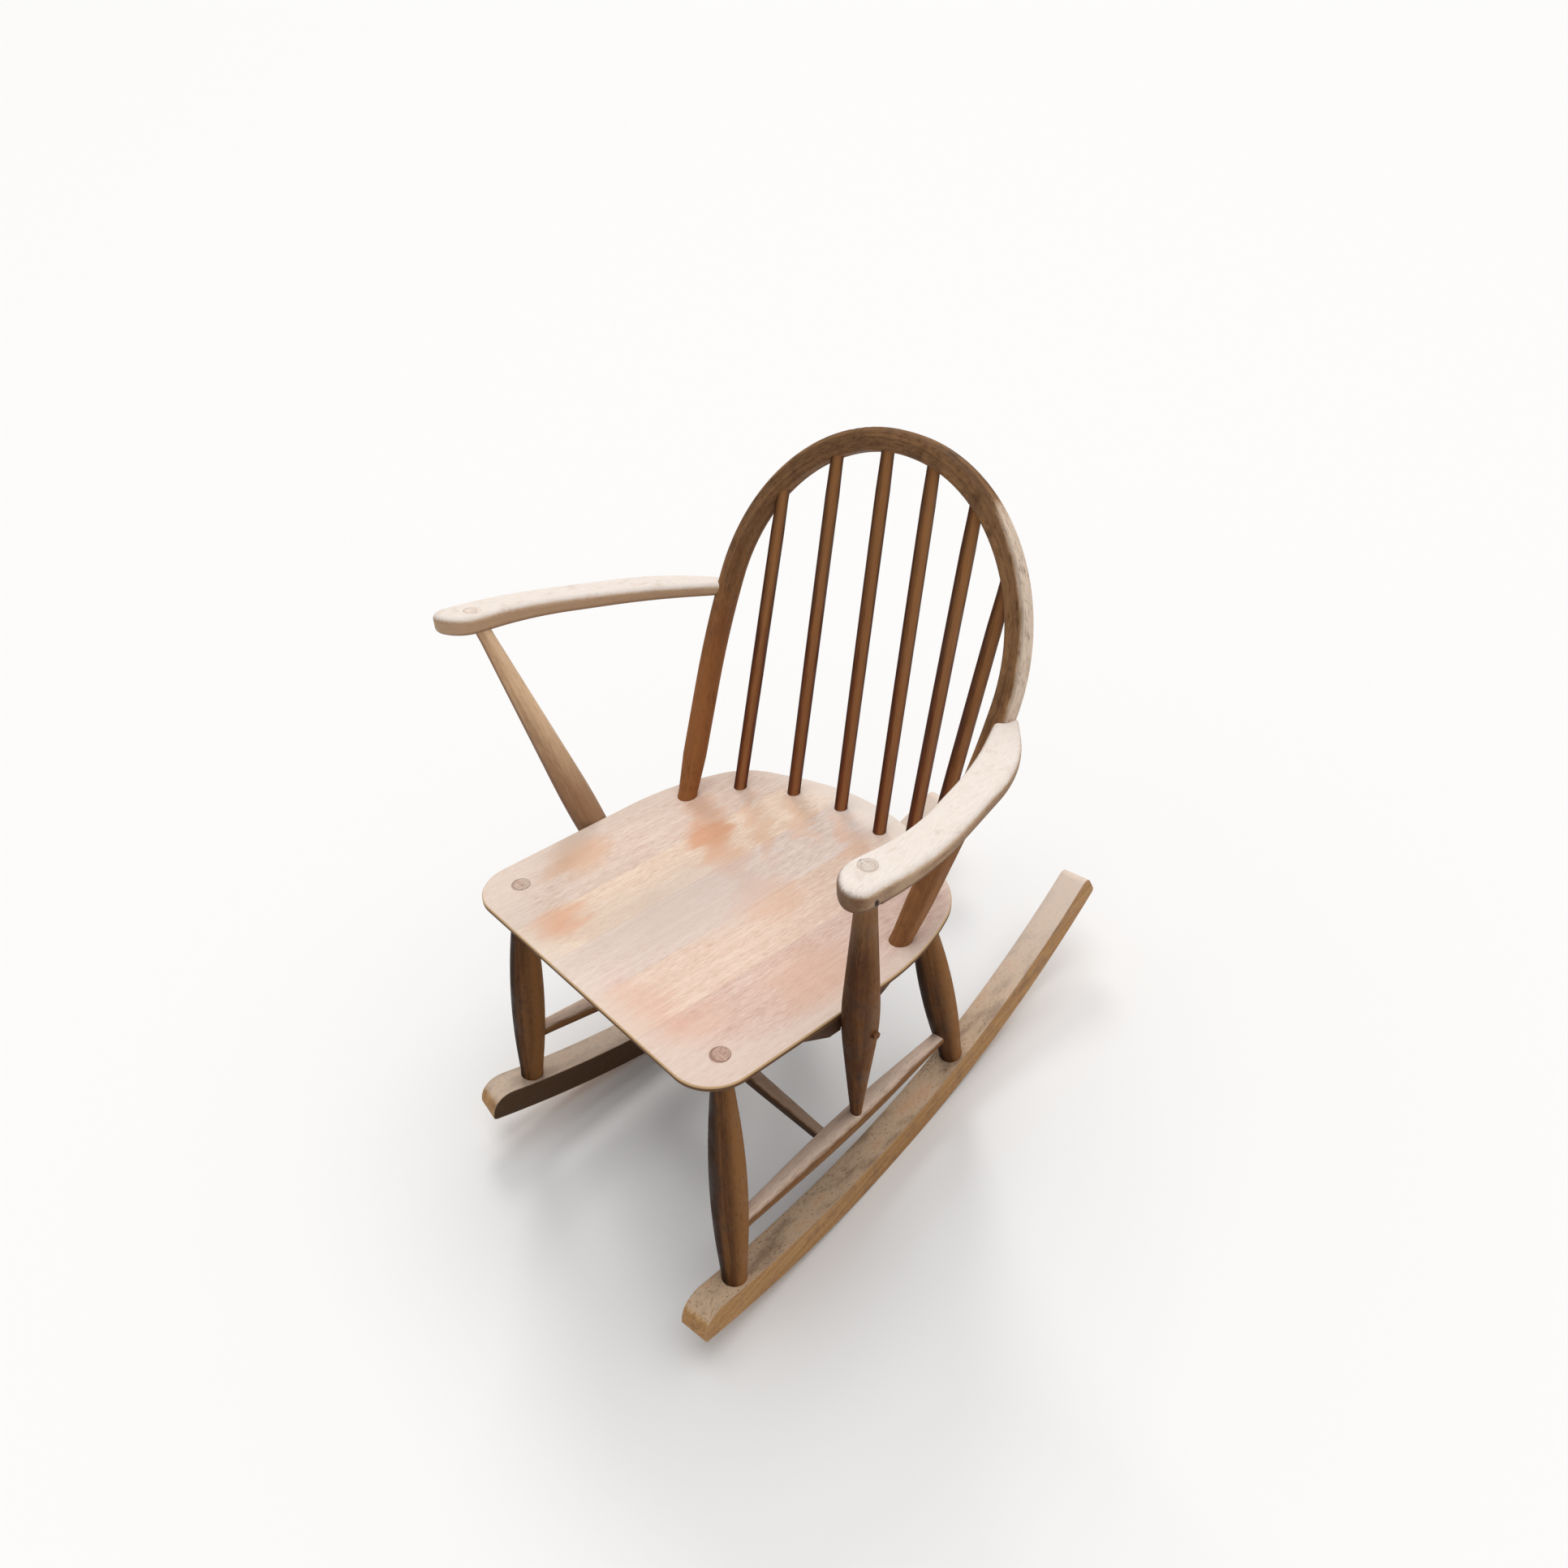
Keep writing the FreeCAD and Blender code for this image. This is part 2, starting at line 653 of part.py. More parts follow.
def post_blank():
    """Turns an arm post from its foot in the side stretcher to its head in the arm."""
    length = derive("arm_post_length", POST_FOOT.distanceToPoint(POST_TOP))
    swell_height = length * (1 - POST_SWELL_SHARE)
    shoulder = length - size("arm_thick") * POST_NECK_SHARE
    neck = size("stretcher_swell").half + size("stretcher_neck")
    low, high = num("post_foot_dia") / 2, num("post_head_dia") / 2
    reach = (length * POST_ROUND_SHARE).number
    peak = peak_radius(num("post_swell") / 2, low, high, swell_height.number - neck.number,
                       shoulder.number - swell_height.number, reach)
    stations = [
        (NOUGHT, size("post_foot_dia").half), (neck, size("post_foot_dia").half),
        (swell_height, derive("arm_post_peak", peak), reach), (shoulder, size("post_head_dia").half),
        (length + OVERRUN, size("post_head_dia").half),
    ]
    return turned("arm_post_turned", along(POST_FOOT, POST_TOP), length, stations)


post_foot_bore = bore("post_foot_bore", size("post_foot_dia"), past(POST_TOP, POST_FOOT, num("end_gap")),
                      between(POST_FOOT, POST_TOP, 0.2))
keep_pair("side_stretcher", cut("side_stretcher", side_blank, [cross_bore, post_foot_bore]))


# The post passes a notch in the seat's edge, where a dowel pins it

dowel_level = on_floor(0, 0, -num("seat_thick") * EDGE_DOWEL_SHARE)
SEAT_UP = FLOOR.Rotation.multVec(Z_AXIS)
rise = (dowel_level - POST_FOOT).dot(SEAT_UP) / (POST_TOP - POST_FOOT).dot(SEAT_UP)
POST_AT_SEAT = between(POST_FOOT, POST_TOP, rise)
DOWEL_OUT = POST_AT_SEAT + X_AXIS * (num("post_swell") * HALF_SHARE + num("edge_dowel_proud"))
DOWEL_IN = DOWEL_OUT - X_AXIS * num("edge_dowel_length")
notch = bore("post_notch", size("post_swell"), past(POST_AT_SEAT, between(POST_AT_SEAT, POST_FOOT, 0.2), 0),
             between(POST_AT_SEAT, POST_TOP, 0.2))
edge_dowel = cylinder("edge_dowel", size("edge_dowel_dia").half, DOWEL_IN, DOWEL_OUT)
edge_bore = bore("edge_bore", size("edge_dowel_dia"), DOWEL_IN - X_AXIS * num("end_gap"),
                 DOWEL_OUT + X_AXIS * num("overrun"))
keep_pair("seat_edge_dowel", edge_dowel)


# Hoop: half of it swept from the crown to above its foot, brought to a round foot, then mirrored

def hoop_point(across, up, out=0.0):
    """Gives a place from its distances across and up the hoop's own plane, and out of its back."""
    return HOOP.multVec(Vector(across, out, up))


def limb_sketch(body, name, height):
    """Starts a sketch square to the straight limb at a height above the seat along it."""
    sketch = new_sketch(body, "XY_Plane", name)
    toe = math.radians(num("hoop_toe"))
    base = Vector(num("hoop_foot_side") + height * math.sin(toe), 0, height * math.cos(toe))
    sketch.AttachmentOffset = Placement(base, Rotation(Y_AXIS, num("hoop_toe")))
    return sketch


def hoop_body(name, slack):
    """Builds the whole hoop, with the slack added all round where it is a cutting tool."""
    body = doc.addObject("PartDesign::Body", name)
    toe = math.radians(num("hoop_toe"))
    side, rise = size("hoop_radius"), num("hoop_foot_rise")
    kink = (num("hoop_radius") - num("hoop_foot_side")) / math.tan(toe)
    reach = (num("hoop_spring") - kink) * FLANK_REACH_SHARE
    crown = size("hoop_spring") + size("hoop_radius")
    flank = derive(f"{name}_flank", reach / math.tan(toe / 2))
    limb_x = derive(f"{name}_limb_x", num("hoop_foot_side") + rise * math.sin(toe))
    limb_z = derive(f"{name}_limb_z", rise * math.cos(toe))
    path = draw(new_sketch(body, "XZ_Plane", f"{name}_path"), [
        (NOUGHT, crown), (side, crown, side * HOOP_ROUND_SHARE), (side, derive(f"{name}_kink", kink), flank),
        (limb_x, limb_z),
    ], closed=False)
    deep, thick = size("hoop_deep") + slack * 2, size("hoop_thick") + slack * 2
    section = new_sketch(body, "YZ_Plane", f"{name}_section")
    rounded_rectangle(section, thick, deep, size("hoop_corner"), y=crown)
    bend = body.newObject("PartDesign::AdditivePipe", f"{name}_bend")
    bend.Profile = section
    bend.Spine = (path, [f"Edge{i + 1}" for i in range(5)])
    foot = size("hoop_foot_dia") + slack * 2
    upper = rounded_rectangle(limb_sketch(body, f"{name}_limb", rise), deep, thick, size("hoop_corner"))
    lower = limb_sketch(body, f"{name}_neck", num("hoop_neck"))
    rounded_rectangle(lower, foot, foot, foot * 0.48)
    taper = body.newObject("PartDesign::AdditiveLoft", f"{name}_taper")
    taper.Profile = upper
    taper.Sections = [lower]
    tenon_sketch = limb_sketch(body, f"{name}_tenon_round", num("hoop_neck"))
    circle = tenon_sketch.addGeometry(Part.Circle(Vector(), Z_AXIS, foot.number / 2))
    pin_point(tenon_sketch, circle, 3, "middle", NOUGHT, NOUGHT)
    hold(tenon_sketch, Sketcher.Constraint("Radius", circle, foot.number / 2), foot.half, "radius")
    through = size("hoop_neck") + size("seat_thick") * 1.15 + OVERRUN
    tenon = pad(body, tenon_sketch, through, f"{name}_tenon")
    tenon.Reversed = True
    other = body.newObject("PartDesign::Mirrored", f"{name}_other_side")
    other.Originals = [bend, taper, tenon]
    other.MirrorPlane = (plane_of(body, "YZ_Plane"), [""])
    body.Tip = other
    body.Placement = HOOP
    return body


hoop_blank = hoop_body("hoop_blank", NOUGHT)
hoop_room = hoop_body("hoop_room", size("joint_gap"))
LIMB_FOOT = hoop_point(num("hoop_foot_side"), 0)
toe_angle = math.radians(num("hoop_toe"))
LIMB_UP = HOOP.Rotation.multVec(Vector(math.sin(toe_angle), 0, math.cos(toe_angle)))
hoop_foot_bore = bore("hoop_foot_bore", size("hoop_foot_dia"), LIMB_FOOT - LIMB_UP * (num("seat_thick") * 2),
                      LIMB_FOOT + LIMB_UP * (num("seat_thick") * 2))


# Sticks: six, fanned a little, between the seat and the inner edge of the hoop

def stick(index, foot, top):
    """Turns one stick and makes the bores that take it in the seat and in the hoop."""
    name = f"back_stick_{index}"
    start, end = past(top, foot, num("stick_foot_depth")), past(foot, top, num("stick_top_depth"))
    length = derive(f"{name}_length", start.distanceToPoint(end))
    foot_end, top_end = size("stick_foot_depth") + size("stick_neck"), size("stick_top_depth") + size("stick_neck")
    low, middle, high = size("stick_foot_dia").half, size("stick_dia").half, size("stick_top_dia").half
    stations = [
        (NOUGHT, low), (foot_end, low), (length * 0.45, middle),
        (length - top_end * 3, middle * 0.98), (length - top_end, high), (length, high),
    ]
    blank = turned(name, along(start, end), length, stations)
    above, below = between(foot, top, 0.1), between(top, foot, 0.1)
    seat_bore = bore(f"{name}_seat_bore", size("stick_foot_dia"),
                     past(top, foot, num("stick_foot_depth") + num("end_gap")), above)
    hoop_bore = bore(f"{name}_hoop_bore", size("stick_top_dia"), below,
                     past(foot, top, num("stick_top_depth") + num("end_gap")))
    return blank, seat_bore, hoop_bore


seat_bores, hoop_bores = [], []
stick_tops = [share * num("hoop_radius") for share in STICK_TOP_SHARES]
inner_edge = num("hoop_radius") - num("hoop_deep") / 2
for index in range(6):
    place, side = (2 - index, -1) if index < 3 else (index - 3, 1)
    foot_share, back_share = STICK_FOOT_SHARES[place]
    foot_y = back_share * num("seat_depth") - num("seat_front")
    foot = on_floor(side * foot_share * num("seat_width") / 2, foot_y, 0)
    crown_rise = math.sqrt(inner_edge ** 2 - stick_tops[place] ** 2)
    top = hoop_point(side * stick_tops[place], num("hoop_spring") + crown_rise)
    blank, seat_bore, hoop_bore = stick(index + 1, foot, top)
    keep(f"back_stick_{index + 1}", blank)
    seat_bores.append(seat_bore)
    hoop_bores.append(hoop_bore)


# Arms: a plan bowed outward, crossed with a side that falls and thins towards the hoop, with all long edges rounded

joint = FLOOR.inverse().multVec(hoop_point(
    num("hoop_radius") + ARM_OUT_SHARE * num("hoop_deep"), ARM_JOINT_SHARE * num("hoop_spring"),
    -ARM_FORE_SHARE * num("hoop_thick"),
))


def rounded_ring(name, spots, reach_shares):
    """Turns a ring of places into corners whose arcs take the given shares of the shorter side beside them."""
    corners = []
    for i, (spot, share) in enumerate(zip(spots, reach_shares)):
        before, after = spots[i - 1], spots[(i + 1) % len(spots)]
        near = min(before.distanceToPoint(spot), after.distanceToPoint(spot))
        x, y = derive(f"{name}_x{i}", spot.x), derive(f"{name}_y{i}", spot.y)
        if not share:
            corners.append((x, y))
            continue
        half_angle = (before - spot).getAngle(after - spot) / 2
        corners.append((x, y, derive(f"{name}_round{i}", near * share * math.tan(half_angle))))
    return corners


def arm_corner(share_across, share_back, height=0.0):
    """Gives a corner of the arm's plan from its shares of the arm's width and of the run from post to hoop."""
    post_y = from_front("post_top_fore")
    across = num("post_top_side") + share_across * num("arm_width")
    return Vector(across, post_y + share_back * (joint.y - post_y), height)


def arm_blank():
    """Crosses the arm's plan with its side and rounds the edges of the result."""
    plan = [arm_corner(across, back) for across, back, reach in ARM_PLAN_SHARES]
    level = Vector(joint.x, joint.y, 0)
    half_end = (X_AXIS * ARM_END_TURN_SHARE + Y_AXIS) * (num("arm_end_width") / 2)
    spots = plan[:4] + [level + half_end, level - half_end] + plan[4:]
    reaches = [reach for across, back, reach in ARM_PLAN_SHARES]
    reaches = reaches[:4] + [0, 0] + reaches[4:]
    body = doc.addObject("PartDesign::Body", "arm_plan")
    sketch = draw(new_sketch(body, "XY_Plane", "arm_plan_outline"), rounded_ring("arm_plan", spots, reaches))
    pad(body, sketch, size("arm_top_height") * 2, "arm_plan_pad")
    body.Placement = FLOOR
    front, peg_back = min(spot.y for spot in spots) - num("overrun"), from_front("post_top_fore")
    back = joint.y + num("overrun") * 2
    fall = (joint.z + num("arm_end_thick") / 2 - num("arm_top_height")) / (joint.y - peg_back)
    thinning = (num("arm_thick") - num("arm_end_thick")) / (joint.y - peg_back)
    top_at = {y: num("arm_top_height") + fall * (y - peg_back) for y in (front, back)}
    side = [
        Vector(y, top_at[y] - down * (num("arm_thick") - thinning * (y - peg_back)), 0)
        for y, down in ((front, 1), (back, 1), (back, 0), (front, 0))
    ]
    slab = doc.addObject("PartDesign::Body", "arm_side")
    outline = draw(new_sketch(slab, "YZ_Plane", "arm_side_outline"), rounded_ring("arm_side", side, [0] * len(side)))
    pad(slab, outline, size("post_top_side") * 2, "arm_side_pad")
    slab.Placement = FLOOR
    crossed = common("arm_crossed", body, slab)
    doc.recompute()
    edges = []
    end = FLOOR.multVec(joint)
    for index, edge in enumerate(crossed.Shape.Edges, start=1):
        start_point, end_point = edge.valueAt(edge.FirstParameter), edge.valueAt(edge.LastParameter)
        middle = edge.valueAt((edge.FirstParameter + edge.LastParameter) / 2)
        climb = abs((end_point - start_point).dot(SEAT_UP))
        if climb < edge.Length * 0.7 and middle.distanceToPoint(end) > num("arm_end_width"):
            edges.append((index, num("arm_round"), num("arm_round")))
    rounded = doc.addObject("Part::Fillet", "arm_rounded")
    rounded.Base = crossed
    rounded.Edges = edges
    return rounded


arm_solid = arm_blank()
ARM_END = FLOOR.multVec(joint)
arm_outer, arm_inner = [FLOOR.multVec(arm_corner(*ARM_PLAN_SHARES[i][:2], joint.z)) for i in (3, 4)]
arm_heading = (ARM_END - between(arm_inner, arm_outer, HALF_SHARE)).normalize()
DOWEL_START = ARM_END - arm_heading * (num("arm_dowel_length") * 0.62)
DOWEL_END = DOWEL_START + arm_heading * num("arm_dowel_length")
arm_dowel = cylinder("arm_dowel", size("arm_dowel_dia").half, DOWEL_START, DOWEL_END)
arm_dowel_bore = bore("arm_dowel_bore", size("arm_dowel_dia"), DOWEL_START - arm_heading * num("end_gap"),
                      DOWEL_END + arm_heading * num("end_gap"))
keep_pair("arm_dowel", arm_dowel)

end_top = joint.z + num("arm_end_thick") / 2
slope_angle = math.degrees(math.atan2(end_top - num("arm_top_height"), joint.y - from_front("post_top_fore")))
cap_place = Placement(POST_TOP, FLOOR.Rotation.multiply(Rotation(X_AXIS, slope_angle)))
post_cap = box("above_arm", cap_place, size("arm_width") * 2, size("arm_width") * 2, OVERRUN * 3)
post_head_bore = bore("post_head_bore", size("post_head_dia"), between(POST_TOP, POST_FOOT, 0.2),
                      past(POST_FOOT, POST_TOP, num("overrun")))
post_wedge, post_kerf = split_peg("arm_post", POST_FOOT, POST_TOP, size("post_head_dia"))
keep_pair("arm_post", cut("arm_post", post_blank(), [post_cap, post_kerf, edge_bore]))
keep_pair("arm_post_wedge", cut("arm_post_wedge", post_wedge, [post_cap]))

pin_face = POST_TOP + X_AXIS * (num("arm_width") / 2 + num("end_gap"))
pin_mouth = pin_face - Y_AXIS * num("arm_pin_hole_fore") - SEAT_UP * (num("arm_thick") * ARM_PIN_SHARE)
pin_hole = cylinder("arm_pin_hole", size("arm_pin_hole_dia").half, pin_mouth - X_AXIS * num("arm_pin_hole_depth"),
                    pin_mouth + X_AXIS * num("overrun"))
keep_pair("arm", cut("arm", arm_solid, [hoop_room, arm_dowel_bore, post_head_bore, pin_hole]))

hoop_tools = hoop_bores + [arm_dowel_bore, mirrored("arm_dowel_bore_right", arm_dowel_bore), below_seat]
keep("hoop", cut("hoop", hoop_blank, hoop_tools))


# Seat: five boards glued edge to edge, bevelled underneath except where the posts pass

def seat_outline(body, name, depth=0.0, inset=0.0):
    """Draws the seat's outline, drawn in by the inset, at a depth below the seat's top."""
    wide, deep, front = num("seat_width"), num("seat_depth"), num("seat_front")
    halves = [Vector(x * wide / 2, y * deep - front, 0) for x, y, reach in SEAT_CORNER_SHARES]
    ring = halves + [Vector(-spot.x, spot.y, 0) for spot in reversed(halves[:-1])]
    reaches = [reach for x, y, reach in SEAT_CORNER_SHARES]
    reaches += list(reversed(reaches[:-1]))
    drawn_in = []
    for i, spot in enumerate(ring):
        before, after = (spot - ring[i - 1]).normalize(), (ring[(i + 1) % len(ring)] - spot).normalize()
        share = inset / (1 + before.dot(after))
        drawn_in.append(spot + (Z_AXIS.cross(before) + Z_AXIS.cross(after)) * share)
    sketch = new_sketch(body, "XY_Plane", name)
    sketch.AttachmentOffset = Placement(Vector(0, 0, -depth), Rotation())
    return draw(sketch, rounded_ring(name, drawn_in, reaches))


def seat_bevelled():
    """Pads the square edge, rounds its top and lofts the bevel below it."""
    body = doc.addObject("PartDesign::Body", "seat_bevelled")
    plank = pad(body, seat_outline(body, "seat_outline"), size("seat_edge"), "seat_edge_pad")
    plank.Reversed = True
    doc.recompute()
    top_rim = [
        f"Edge{i + 1}" for i, edge in enumerate(plank.Shape.Edges)
        if edge.BoundBox.ZMin > -num("glue_line")
    ]
    rounding = body.newObject("PartDesign::Fillet", "seat_top_rounding")
    rounding.Base = (plank, top_rim)
    bind(rounding, Radius=size("seat_top_round"))
    bevel = body.newObject("PartDesign::AdditiveLoft", "seat_bevel_loft")
    bevel.Profile = seat_outline(body, "seat_bevel_top", num("seat_edge"))
    bevel.Sections = [seat_outline(body, "seat_bevel_low", num("seat_thick"), num("seat_bevel"))]
    bevel.Ruled = True
    body.Placement = FLOOR
    return body


def seat_lower():
    """Pads the whole outline below the square edge, which the blocks at the posts are cut from."""
    body = doc.addObject("PartDesign::Body", "seat_lower")
    outline = seat_outline(body, "seat_lower_outline", num("seat_edge"))
    plank = pad(body, outline, size("seat_thick") - size("seat_edge"), "seat_lower_pad")
    plank.Reversed = True
    body.Placement = FLOOR
    return body


def post_pad_block():
    """Draws the block at a post, long at the seat's square edge and sloping in at both ends below it."""
    body = doc.addObject("PartDesign::Body", "post_pad_block")
    half, slope = size("seat_pad_width").half, size("seat_pad_slope")
    edge, thick = size("seat_edge"), size("seat_thick")
    corners = [(-half, -edge), (slope - half, -thick), (half - slope, -thick), (half, -edge)]
    sketch = draw(new_sketch(body, "YZ_Plane", "post_pad_side"), corners)
    pad(body, sketch, size("seat_pad_depth"), "post_pad_plank", midplane=True)
    body.Placement = FLOOR.multiply(Placement(Vector(num("seat_width") / 2, FLOOR.inverse().multVec(POST_AT_SEAT).y, 0), Rotation()))
    return body


post_pad = post_pad_block()
pads = common("post_pads", seat_lower(), fuse("post_pad_blocks", [post_pad, mirrored("post_pad_block_right", post_pad)]))
seat_blank = fuse("seat_blank", [seat_bevelled(), pads])
front_peg_bore = bore("front_peg_bore", size("leg_peg_dia"), between(FRONT_PEG, FRONT_FOOT, 0.2),
                      past(FRONT_FOOT, FRONT_PEG, num("overrun")))
rear_peg_bore = bore("rear_peg_bore", size("leg_peg_dia"), between(REAR_PEG, REAR_FOOT, 0.2),
                     past(REAR_FOOT, REAR_PEG, num("end_gap")))
left_tools = [front_peg_bore, rear_peg_bore, hoop_foot_bore, notch, edge_bore]
right_tools = [mirrored(f"{tool.Name}_right", tool) for tool in left_tools]
seat_bored = cut("seat_bored", seat_blank, left_tools + right_tools + seat_bores)
joints = [num("seat_width") / 2 * share for share in [-1.1] + BOARD_JOINT_SHARES + [1.1]]
for index in range(5):
    low, high = joints[index], joints[index + 1]
    strip_place = FLOOR.multiply(Placement(Vector((low + high) / 2, 0, -num("seat_thick") * 2), Rotation()))
    board_width = derive(f"board_width_{index + 1}", high - low - num("glue_line"))
    strip = box(f"board_strip_{index + 1}", strip_place, board_width, SPAN, size("seat_thick") * 3)
    keep(f"seat_board_{index + 1}", common(f"seat_board_{index + 1}", seat_bored, strip))


# Every object is checked before any piece is written

doc.recompute()
for feature in doc.Objects:
    if "Invalid" in feature.State or "Error" in feature.State:
        raise RuntimeError(f"{feature.Name} failed: {feature.State}")
for name, feature in subparts.items():
    shape = feature.Shape
    if shape.isNull() or not shape.isValid() or len(shape.Solids) != 1:
        raise RuntimeError(f"{name} is not one valid solid")
os.makedirs("parts", exist_ok=True)
for name, feature in subparts.items():
    feature.Shape.exportStep(f"parts/{name}.step")
    print(f"{name}: {feature.Shape.Volume:.0f} cubic millimetres")
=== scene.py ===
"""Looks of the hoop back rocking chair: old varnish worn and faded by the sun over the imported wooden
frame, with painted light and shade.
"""

import logging
import math
from dataclasses import dataclass, field, replace
from enum import Enum
from typing import Any, Optional, Union

import bmesh
import bpy
import numpy as np
from mathutils import Matrix, Vector

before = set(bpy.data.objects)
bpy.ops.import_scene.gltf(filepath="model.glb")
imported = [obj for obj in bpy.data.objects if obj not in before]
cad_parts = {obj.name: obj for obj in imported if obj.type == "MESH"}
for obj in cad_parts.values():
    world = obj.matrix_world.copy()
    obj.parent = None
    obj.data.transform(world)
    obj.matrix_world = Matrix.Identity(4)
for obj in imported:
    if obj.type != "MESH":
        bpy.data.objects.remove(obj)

log = logging.getLogger("rocking_chair")

Colour = tuple[float, float, float]
Number = Union[float, "Signal"]

# Where a soft step starts at 0 and where it reaches 1
Fade = tuple[float, float]

# How many blobs of noise fill a metre along each direction
Spread = tuple[float, float, float]

# A way to face in the chair's frame
Direction = tuple[float, float, float]

PICTURE_SIDE = 1932
MILLIMETRE = 0.001
SIDES = ("left", "right")


def shade(red: int, green: int, blue: int) -> Colour:
    """Turns a colour written in display steps of 0 to 255 into light.

    Args:
        red: Red step.
        green: Green step.
        blue: Blue step.

    Returns:
        The colour as three linear amounts.
    """
    def light(step: int) -> float:
        """Gives the light of one step."""
        part = step / 255
        return part / 12.92 if part <= 0.04045 else ((part + 0.055) / 1.055) ** 2.4

    return light(red), light(green), light(blue)


# Shader maths

class Signal:
    """A shader socket that adds, multiplies and compares as a number does."""

    def __init__(self, bench: "Bench", socket: bpy.types.NodeSocket) -> None:
        """Wraps a socket of the bench's material."""
        self.bench = bench
        self.socket = socket

    def combine(self, operation: str, other: Number, swapped: bool = False) -> "Signal":
        """Joins this signal and another number through a Math node.

        Args:
            operation: The Math node's operation.
            other: The other number or signal.
            swapped: True if the other one comes first.

        Returns:
            The result.
        """
        first, second = (other, self) if swapped else (self, other)
        return self.bench.out("ShaderNodeMath", {"operation": operation}, {0: first, 1: second})

    def __add__(self, other: Number) -> "Signal":
        """Adds."""
        return self.combine("ADD", other)

    def __radd__(self, other: Number) -> "Signal":
        """Adds with the number first."""
        return self.combine("ADD", other, swapped=True)

    def __sub__(self, other: Number) -> "Signal":
        """Subtracts."""
        return self.combine("SUBTRACT", other)

    def __rsub__(self, other: Number) -> "Signal":
        """Subtracts this signal from a number."""
        return self.combine("SUBTRACT", other, swapped=True)

    def __mul__(self, other: Number) -> "Signal":
        """Multiplies."""
        return self.combine("MULTIPLY", other)

    def __rmul__(self, other: Number) -> "Signal":
        """Multiplies with the number first."""
        return self.combine("MULTIPLY", other, swapped=True)

    def __truediv__(self, other: Number) -> "Signal":
        """Divides."""
        return self.combine("DIVIDE", other)

    def __pow__(self, other: Number) -> "Signal":
        """Raises to a power."""
        return self.combine("POWER", other)

    def larger(self, other: Number) -> "Signal":
        """Gives the larger of two."""
        return self.combine("MAXIMUM", other)

    def smaller(self, other: Number) -> "Signal":
        """Gives the smaller of two."""
        return self.combine("MINIMUM", other)

    def size(self) -> "Signal":
        """Gives the amount without its sign."""
        return self.combine("ABSOLUTE", 0.0)

    def between(self, low: float, high: float) -> "Signal":
        """Rises softly from 0 at low to 1 at high, or falls if low is the larger.

        Args:
            low: Where the result is 0.
            high: Where the result is 1.

        Returns:
            The soft step.
        """
        first, last = sorted((low, high))
        start, end = (0.0, 1.0) if low < high else (1.0, 0.0)
        return self.bench.out("ShaderNodeMapRange", {"interpolation_type": "SMOOTHSTEP"},
                              {0: self, 1: first, 2: last, 3: start, 4: end})


